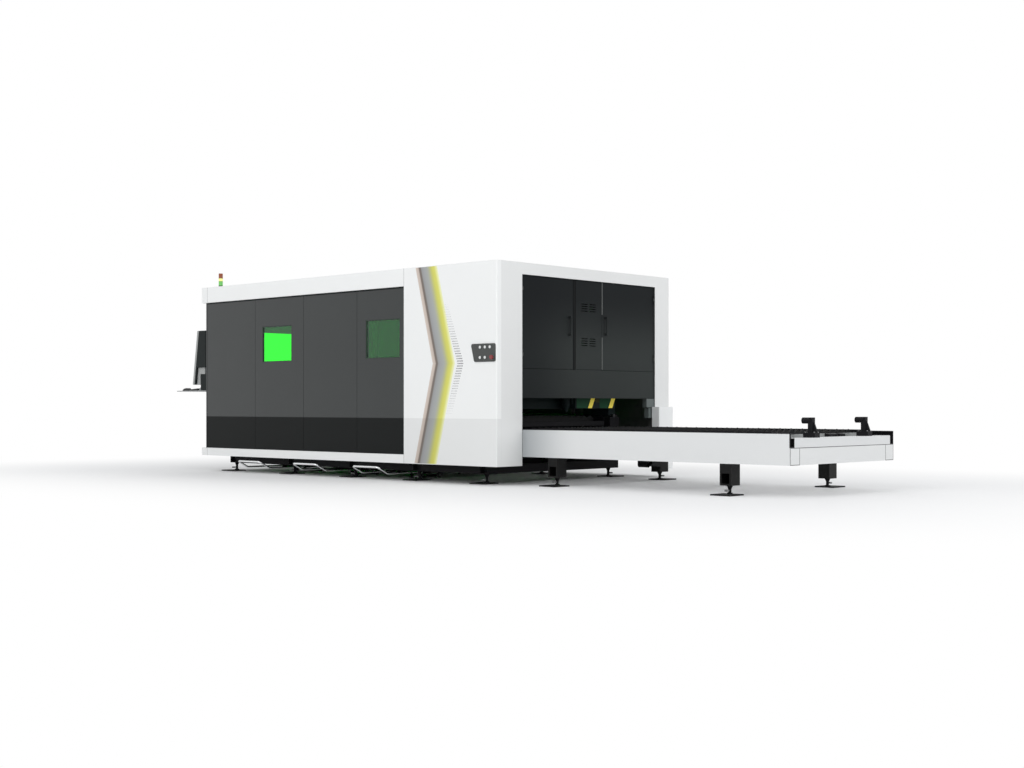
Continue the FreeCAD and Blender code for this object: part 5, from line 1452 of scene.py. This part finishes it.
@dataclass
class Console(Assembly):
    """The operator's console: pale face plate, tray bracket, keys and mouse wheel."""

    plate_thickness: float = 0.012
    plate_bevel: float = 0.0015
    plate_margin: float = 0.001
    glass_lap: float = 0.002
    flange: float = 0.024
    flange_sheet: float = 0.0015
    face_top: Span = (-5.223, 1.7)
    face_bottom: Span = (-5.32, 1.04)
    bracket_sheet: float = 0.004
    bracket_bevel: float = 0.001
    bracket_reach: float = 0.075
    bracket_width: Span = (0.02, 0.46)
    bracket_top: float = 1.035
    bracket_gap: float = 0.006
    key_rows: int = 5
    key_columns: int = 15
    key_margin: float = 0.012
    key_gap: float = 0.003
    key_height: float = 0.005
    key_bevel: float = 0.0012
    long_key: tuple[int, int] = (0, 4)
    long_key_span: int = 6
    wheel_radius: float = 0.011
    wheel_bevel: float = 0.001
    wheel_width: float = 0.008
    wheel_share: float = 0.3

    def build(self) -> None:
        """Builds every piece of the console."""
        self.face_plate()
        self.tray_bracket()
        self.keys()
        self.mouse_wheel()

    def on_face(self, across: Span, heights: Span) -> list[Vector]:
        """Lays a rectangle on the housing's slanted face.

        Args:
            across: Its start and end in y.
            heights: Its bottom and its top.

        Returns:
            Its corners, in order.
        """
        (top_x, top_z), (bottom_x, bottom_z) = self.face_top, self.face_bottom
        slope = top_x - bottom_x, top_z - bottom_z
        return [Vector((bottom_x + slope[0] * ((z - bottom_z) / slope[1]), y, z))
                for y, z in corners(across, heights)]

    def face_plate(self) -> None:
        """Builds the pale plate on the housing's front, folded over its sides, with an opening."""
        low, high = self.shop.box("console_housing")
        glass_low, glass_high = self.shop.box("screen")
        lap = self.glass_lap
        outer = self.on_face((low.y, high.y), inset((low.z, high.z), self.plate_margin))
        inner = self.on_face(inset((glass_low.y, glass_high.y), lap),
                             inset((glass_low.z, glass_high.z), lap))
        along = (outer[3] - outer[0]).normalized()
        outward = along.cross(Vector((0.0, 1.0, 0.0))) * self.plate_thickness
        if outward.x > 0:
            outward = -outward
        plate = self.shop.shape()
        plate.frame(outer, inner, outward, self.plate_bevel)
        inward = Vector((self.flange, 0.0, 0.0))
        for bottom, top, way in ((outer[0], outer[3], -1), (outer[1], outer[2], 1)):
            plate.prism([bottom, bottom + inward, top + inward, top],
                        (0.0, way * self.flange_sheet, 0.0))
        plate.build("console_face_plate", "light_grey_coat", Body.CONSOLE, "light_grey_paint")

    def tray_bracket(self) -> None:
        """Builds the folded bracket that ties the tray to the box above it."""
        low, _ = self.shop.box("control_box")
        foot = self.shop.box("keyboard_tray")[1].z
        top = self.shop.box("console_housing")[0].z - self.bracket_gap
        sheet = self.bracket_sheet
        front, back = low.x - self.bracket_reach, low.x - sheet
        start, end = (low.y + place for place in self.bracket_width)
        shape = self.shop.shape()
        shape.block((back, start, foot), (low.x, end, self.bracket_top), self.bracket_bevel)
        shape.block((front, start, foot), (back, end, foot + sheet), self.bracket_bevel)
        for y in (start, end - sheet):
            shape.prism([(front, y, foot + sheet), (back, y, foot + sheet), (back, y, top)],
                        (0, sheet, 0))
        shape.build("tray_bracket", "tray_grey", Body.CONSOLE, "light_grey_paint")

    def keys(self) -> None:
        """Builds rows of keys on the keyboard's slanted top, one long key in the nearest."""
        low, high = self.shop.box("keyboard")
        front_height = (low.z + high.z) / 2
        slope = (high.z - front_height) / (high.x - low.x)
        margin = self.key_margin
        pitch_x = (high.x - low.x - 2 * margin) / self.key_rows
        pitch_y = (high.y - low.y - 2 * margin) / self.key_columns
        shape = self.shop.shape()
        for row in range(self.key_rows):
            column = 0
            while column < self.key_columns:
                span = self.long_key_span if (row, column) == self.long_key else 1
                x0 = low.x + margin + row * pitch_x
                x1 = x0 + pitch_x - self.key_gap
                y0 = low.y + margin + column * pitch_y
                y1 = y0 + pitch_y * span - self.key_gap
                z0, z1 = (front_height + slope * (x - low.x) for x in (x0, x1))
                shape.prism([(x0, y0, z0), (x1, y0, z1), (x1, y1, z1), (x0, y1, z0)],
                            (0, 0, self.key_height), self.key_bevel)
                column += span
        shape.build("keyboard_keys", "key_plastic", Body.CONSOLE, "black_plastic")

    def mouse_wheel(self) -> None:
        """Builds the wheel between the mouse's buttons."""
        low, high = self.shop.box("mouse")
        radius, bevel, half = self.wheel_radius, self.wheel_bevel, self.wheel_width / 2
        place = (low.x + self.wheel_share * (high.x - low.x), self.shop.middle("mouse")[1],
                 high.z - radius)
        shape = self.shop.shape()
        shape.lathe([(radius - bevel, -half), (radius, bevel - half), (radius, half - bevel),
                     (radius - bevel, half)], place, Axis.Y, 24)
        shape.build("mouse_wheel", "key_plastic", Body.CONSOLE, "rubber")


@dataclass
class Table(Assembly):
    """Trim of the exchange table: tube ends, end-beam seam, leg box, stop bolts and hooks."""

    line: float = 0.006
    proud: float = 0.0003
    tube: float = 0.15
    leg_box_low: tuple[float, float, float] = (0.335, 1.78, 0.14)
    leg_box_high: tuple[float, float, float] = (0.455, 2.0115, 0.2775)
    leg_box_radius: float = 0.03
    leg_box_steps: int = 6
    bevel: float = 0.002
    plate_sheet: float = 0.003
    plate_heights: Span = (0.46, 0.534)
    plate_margin: float = 0.07
    hook_spans: tuple[Span, ...] = ((1.323, 1.474), (1.51, 1.607))
    hook_heights: tuple[float, float, float] = (0.5, 0.528, 0.534)
    hook_reach: float = 0.05
    hook_crest: float = 0.009
    stop_rows: Span = (0.805, 1.715)
    stop_base: float = 0.044
    stop_bolt: float = 0.0075
    stop_bolt_places: Span = (0.103, 0.014)
    stop_bolt_spread: float = 0.028

    def build(self) -> None:
        """Builds every piece of the table."""
        self.tube_ends()
        self.leg_box()
        self.hooks()
        self.stop_bolts()

    def tube_ends(self) -> None:
        """Builds the dark outlines of the side tubes' ends and the seam over the end beam."""
        low, high = self.shop.box("table_frame")
        top = self.shop.box("table_end_beam")[0].z
        bottom = top - self.tube
        shape = self.shop.shape()
        for start in (low.y, high.y - self.tube):
            across = (start, start + self.tube)
            outer = upright(Axis.X, high.x, across, (bottom, top))
            inner = upright(Axis.X, high.x, inset(across, self.line),
                            inset((bottom, top), self.line))
            shape.frame(outer, inner, (self.proud, 0, 0))
        seam = upright(Axis.X, high.x, inset((low.y, high.y), self.tube), (top - self.line, top))
        shape.prism(seam, (self.proud, 0, 0))
        shape.build("tube_end_lines", "joint_mid", Body.MACHINE, "light_grey_paint")

    def leg_box(self) -> None:
        """Builds the black box beside the far leg next to the portal."""
        low, high = self.leg_box_low, self.leg_box_high
        radius, steps = self.leg_box_radius, self.leg_box_steps
        arc = [(low[1] + radius * (1 - math.cos(angle)), low[2] + radius * (1 - math.sin(angle)))
               for angle in (math.pi / 2 * step / steps for step in range(steps + 1))]
        outline = [(low[0], y, z) for y, z in arc]
        outline += [(low[0], low[1], high[2]), (low[0], high[1], high[2]),
                    (low[0], high[1], low[2])]
        shape = self.shop.shape()
        shape.prism(outline, (high[0] - low[0], 0, 0), self.bevel)
        shape.build("leg_box", "black_coat", Body.MACHINE, "black_paint")

    def hooks(self) -> None:
        """Builds the pale plate and the hook blocks on the lower pallet's front end."""
        low, high = self.shop.box("lower_pallet_frame")
        back, front = high.x + self.plate_sheet, high.x + self.hook_reach
        start, end = inset((low.y, high.y), self.plate_margin)
        bottom, top = self.plate_heights
        plate = self.shop.shape()
        plate.block((high.x, start, bottom), (back, end, top))
        plate.build("pallet_end_plate", "tray_grey", Body.LOWER_PALLET, "light_grey_paint")
        foot, shoulder, crest = self.hook_heights
        shape = self.shop.shape()
        for start, end in self.hook_spans:
            shape.prism([(back, start, foot), (front, start, foot), (front, start, shoulder),
                         (back + self.hook_crest, start, crest), (back, start, crest)],
                        (0, end - start, 0), self.bevel)
        shape.build("pallet_hooks", "black_coat", Body.LOWER_PALLET, "black_paint")

    def stop_bolts(self) -> None:
        """Builds four bolts on each stop's base."""
        low, high = self.shop.box("pallet_stops")
        shape = self.shop.shape()
        for row in self.stop_rows:
            for place in self.stop_bolt_places:
                for side in (-self.stop_bolt_spread, self.stop_bolt_spread):
                    shape.bolt((high.x - place, row + side, low.z + self.stop_base),
                               self.stop_bolt)
        shape.build("stop_bolts", "screw_steel", Body.MACHINE, "steel")


@dataclass
class Racks(Assembly):
    """Teeth on the outer faces of the gantry's two racks, and the rails' screws."""

    pitch: float = 0.01
    depth: float = 0.003
    tooth_heights: Span = (0.0008, 0.0155)
    tooth_root: float = 0.62
    tooth_tip: Span = (0.16, 0.46)
    screw_pitch: float = 0.12
    screw_rows: Span = (0.292, 2.228)
    screw_radii: Span = (0.0055, 0.004)
    screw_heights: Span = (0.0006, 0.001)

    def build(self) -> None:
        """Builds both rows of teeth and both rows of screws."""
        low, high = self.shop.box("gantry_rails")
        bottom, top = (low.z + height for height in self.tooth_heights)
        teeth = self.shop.shape()
        for face, way in ((low.y, -1), (high.y, 1)):
            tip = face + way * self.depth
            for index in range(int((high.x - low.x - 2 * self.pitch) / self.pitch)):
                x = low.x + self.pitch * (index + 1)
                near, far = (x + self.pitch * share for share in self.tooth_tip)
                teeth.prism([(x, face, bottom), (x + self.pitch * self.tooth_root, face, bottom),
                             (far, tip, bottom), (near, tip, bottom)], (0, 0, top - bottom))
        teeth.build("rack_teeth", "rail_steel", Body.MACHINE, "steel")
        screws = self.shop.shape()
        for row in self.screw_rows:
            for index in range(int((high.x - low.x) / self.screw_pitch)):
                x = low.x + self.screw_pitch * (index + 0.5)
                screws.stud(self.screw_radii, self.screw_heights, (x, row, high.z), Axis.Z, 12)
        screws.build("rail_screws", "screw_steel", Body.MACHINE, "steel")


@dataclass
class Feet(Assembly):
    """Lock nuts on the levelling studs."""

    bed_places: tuple[float, ...] = (-0.422, -1.407, -2.432, -3.504, -4.624)
    bed_rows: Span = (0.255, 2.265)
    table_places: Span = (0.395, 2.405)
    table_rows: Span = (0.395, 2.125)
    nut_radius: float = 0.024
    nut_heights: Span = (0.034, 0.05)
    nut_chamfer: float = 0.002
    nut_crown: float = 0.86

    def build(self) -> None:
        """Builds a nut on every stud."""
        low, high = self.nut_heights
        radius, chamfer = self.nut_radius, self.nut_chamfer
        crown = radius * self.nut_crown
        profile = [(crown, low), (radius, low + chamfer), (radius, high - chamfer), (crown, high)]
        shape = self.shop.shape()
        for places, rows in ((self.bed_places, self.bed_rows),
                             (self.table_places, self.table_rows)):
            for x in places:
                for y in rows:
                    shape.lathe(profile, (x, y, 0.0), Axis.Z, 6)
        shape.build("lock_nuts", "screw_steel", Body.MACHINE, "steel")


@dataclass
class Carts(Assembly):
    """Hub caps on the scrap carts' wheels and clamps on their handles."""

    hub_radii: Span = (0.011, 0.0066)
    hub_heights: Span = (0.0024, 0.004)
    tube: float = 0.02
    clamp: float = 0.03
    clamp_walls: Span = (0.0005, 0.006)
    clamp_gap: float = 0.0005
    clamp_height: float = 0.066

    def build(self) -> None:
        """Builds the fittings of each cart."""
        for number in CARTS:
            for end in ENDS:
                self.hubs(number, end)
            self.clamps(number)

    def hubs(self, number: int, end: str) -> None:
        """Builds the two hub caps of one axle.

        Args:
            number: The cart's number.
            end: Which axle, front or rear.
        """
        wheels = f"cart_{number}_{end}_wheels"
        low, high = self.shop.box(wheels)
        _, y, z = self.shop.middle(wheels)
        shape = self.shop.shape()
        for x, flip in ((low.x, True), (high.x, False)):
            shape.stud(self.hub_radii, self.hub_heights, (x, y, z), Axis.X, 20, flip)
        shape.build(f"cart_{number}_{end}_hubs", "screw_steel",
                    Body[f"CART_{number}_{end.upper()}_AXLE"], "steel")

    def clamps(self, number: int) -> None:
        """Builds the two clamps that hold a handle's arms to the cart's front wall.

        Args:
            number: The cart's number.
        """
        front = self.shop.box(f"cart_{number}")[0].y - self.clamp_gap
        low, high = self.shop.box(f"cart_{number}_handle")
        inner, outer = (self.tube / 2 + wall for wall in self.clamp_walls)
        shape = self.shop.shape()
        for x in inset((low.x, high.x), self.tube / 2):
            shape.lathe([(inner, 0.0), (inner, self.clamp), (outer, self.clamp), (outer, 0.0)],
                        (x, front, self.clamp_height), Axis.Y, 24, flip=True, closed=True)
        shape.build(f"cart_{number}_clamps", "black_coat", Body[f"CART_{number}"], "black_paint")


@dataclass
class Tower(Assembly):
    """Black rings between the signal tower's lamps, a collar under them and a flange below."""

    lamp_heights: tuple[float, float, float] = LAMP_HEIGHTS
    ring_half: float = 0.0012
    ring_proud: float = 0.0008
    ring_depth: float = 0.002
    stem_radius: float = 0.0225
    flange_radius: float = 0.032
    flange_heights: Span = (0.004, 0.006)
    collar_drops: Span = (0.01, 0.004)
    collar_sheet: float = 0.001

    def build(self) -> None:
        """Builds the rings, the flange and the collar."""
        low, high = self.shop.box("signal_tower")
        foot = high.z - sum(self.lamp_heights)
        radius = (high.x - low.x) / 2
        outer, inner = radius + self.ring_proud, radius - self.ring_depth
        profiles = []
        for z in (foot + self.lamp_heights[0], high.z - self.lamp_heights[2]):
            start, end = z - self.ring_half, z + self.ring_half
            profiles.append([(inner, start), (outer, start), (outer, end), (inner, end)])
        stem, sheet = self.stem_radius, self.collar_sheet
        edge, crest = (low.z + height for height in self.flange_heights)
        profiles.append([(stem, low.z), (self.flange_radius, low.z), (self.flange_radius, edge),
                         (stem, crest)])
        bottom, shoulder = (foot - drop for drop in self.collar_drops)
        profiles.append([(stem, bottom), (radius + sheet, shoulder), (radius + sheet, foot + sheet),
                         (radius - sheet, foot + sheet), (stem - sheet, bottom)])
        x, y, _ = self.shop.middle("signal_tower")
        shape = self.shop.shape()
        for profile in profiles:
            shape.lathe(profile, (x, y, 0.0), Axis.Z, 32, closed=True)
        shape.build("tower_rings", "black_plastic", Body.MACHINE, "black_plastic")


@dataclass
class Lamp:
    """One large square lamp of the studio."""

    name: str
    place: tuple[float, float, float]
    target: tuple[float, float, float]
    size: float
    power: float

    def build(self) -> None:
        """Adds the lamp."""
        data = bpy.data.lights.new(self.name, "AREA")
        data.shape = "SQUARE"
        data.size = self.size
        data.energy = self.power
        lamp = bpy.data.objects.new(self.name, data)
        bpy.context.collection.objects.link(lamp)
        lamp.location = self.place
        aim = Vector(self.target) - Vector(self.place)
        lamp.rotation_mode = "QUATERNION"
        lamp.rotation_quaternion = aim.to_track_quat("-Z", "Y")


@dataclass
class Studio:
    """Pale floor, soft lights and the camera at the photograph's place, in the model's frame."""

    focal_pixels: float = 1419.1
    frame_width: float = 1024.0
    horizon_drop: float = 21.2
    eye: tuple[float, float, float] = (10.8245, -11.291, 0.788)
    heading: float = 46.870
    floor_size: float = 160.0
    floor_tone: float = 0.93
    cloud_scale: float = 0.6
    cloud_share: float = 0.3
    cloud_tone: float = 0.98
    mirror_share: float = 0.03
    mirror_roughness: float = 0.25
    fade: Span = (0.3, 4.0)
    footprint: Span = (4.3, 1.35)
    ambient: float = 0.76
    ambient_colour: Colour = (0.975, 0.985, 1.0)
    sensor_width: float = 36.0
    view_range: float = 500.0
    lamps: tuple[Lamp, ...] = (
        Lamp("key_light", (2.0, -18.0, 11.0), (-0.5, 0.0, 1.0), 11.0, 900.0),
        Lamp("end_light", (16.0, 1.0, 4.5), (1.5, 0.0, 1.0), 8.0, 520.0),
        Lamp("back_light", (-14.0, 12.0, 10.0), (0.0, 0.0, 1.0), 9.0, 300.0),
    )

    def build(self) -> None:
        """Builds the floor, the world, the lamps and the camera."""
        self.floor()
        self.world()
        for lamp in self.lamps:
            lamp.build()
        self.camera()

    def floor(self) -> None:
        """Builds the floor sheet, which fades to plain white away from the machine."""
        half = self.floor_size / 2
        sheet = bmesh.new()
        sheet.faces.new([sheet.verts.new((x * half, y * half, 0.0))
                         for x, y in ((-1, -1), (1, -1), (1, 1), (-1, 1))])
        data = bpy.data.meshes.new("studio_floor")
        sheet.to_mesh(data)
        sheet.free()
        floor = bpy.data.objects.new("studio_floor", data)
        bpy.context.collection.objects.link(floor)
        data.materials.append(self.floor_finish())

    def floor_finish(self) -> bpy.types.Material:
        """Returns the pale, faintly glossy floor."""
        shader = Shader("studio_floor", Vector((0.0, 0.0, 0.0)))
        long_way = (shader.x.absolute() - self.footprint[0]).at_least(0.0)
        wide_way = (shader.y.absolute() - self.footprint[1]).at_least(0.0)
        away = ((long_way ** 2.0 + wide_way ** 2.0) ** 0.5).ramp(*self.fade)
        tone = shader.mix(shader.noise(self.cloud_scale, 2.0) * self.cloud_share,
                          (self.floor_tone,) * 3, (self.floor_tone * self.cloud_tone,) * 3)
        matt = shader.wire("ShaderNodeBsdfDiffuse", {}, {"Color": tone})
        mirror = shader.wire("ShaderNodeBsdfGlossy", {}, {"Color": WHITE,
                                                          "Roughness": self.mirror_roughness})
        sheet = shader.wire("ShaderNodeMixShader", {}, {0: self.mirror_share, 1: matt, 2: mirror})
        white = shader.wire("ShaderNodeEmission", {}, {"Color": WHITE})
        return shader.end(shader.wire("ShaderNodeMixShader", {},
                                      {0: away * shader.seen(), 1: sheet, 2: white}))

    def world(self) -> None:
        """Sets a white backdrop for what is seen and a softer ambient light for what is lit."""
        world = bpy.data.worlds.new("studio")
        bpy.context.scene.world = world
        world.use_nodes = True
        tree = Tree(world.node_tree)
        lit = tree.wire("ShaderNodeBackground", {}, {"Color": self.ambient_colour,
                                                     "Strength": self.ambient})
        seen = tree.wire("ShaderNodeBackground", {}, {"Color": WHITE})
        mixed = tree.wire("ShaderNodeMixShader", {}, {0: tree.seen(), 1: lit, 2: seen})
        tree.node("ShaderNodeOutputWorld", {}, {"Surface": mixed})

    def camera(self) -> None:
        """Adds the camera, level, with the horizon a little below the frame's middle."""
        data = bpy.data.cameras.new("photo_camera")
        data.sensor_width = self.sensor_width
        data.lens = self.focal_pixels / self.frame_width * self.sensor_width
        data.shift_y = self.horizon_drop / self.frame_width
        data.clip_end = self.view_range
        camera = bpy.data.objects.new("photo_camera", data)
        bpy.context.collection.objects.link(camera)
        camera.location = self.eye
        turn = math.radians(self.heading)
        ahead = Vector((-math.cos(turn), math.sin(turn), 0.0))
        camera.rotation_mode = "QUATERNION"
        camera.rotation_quaternion = ahead.to_track_quat("-Z", "Y")
        bpy.context.scene.camera = camera


def main() -> None:
    """Loads the frame, dresses it, adds the fine pieces and sets up the studio."""
    logging.basicConfig(level=logging.INFO, format="%(name)s: %(message)s")
    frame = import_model()
    bpy.context.scene.view_settings.view_transform = "Standard"
    shop = Workshop.open()
    shop.dress(frame["nodes"])
    assemblies = (Livery(shop), Windows(shop), PostCovers(shop), ButtonPanel(shop), DoorTrim(shop),
                  CarriageMarks(shop), Console(shop), Table(shop), Racks(shop), Feet(shop),
                  Carts(shop), Tower(shop), Studio())
    for assembly in assemblies:
        assembly.build()
        LOG.info("%s built", type(assembly).__name__)


if __name__ == "__main__":
    main()
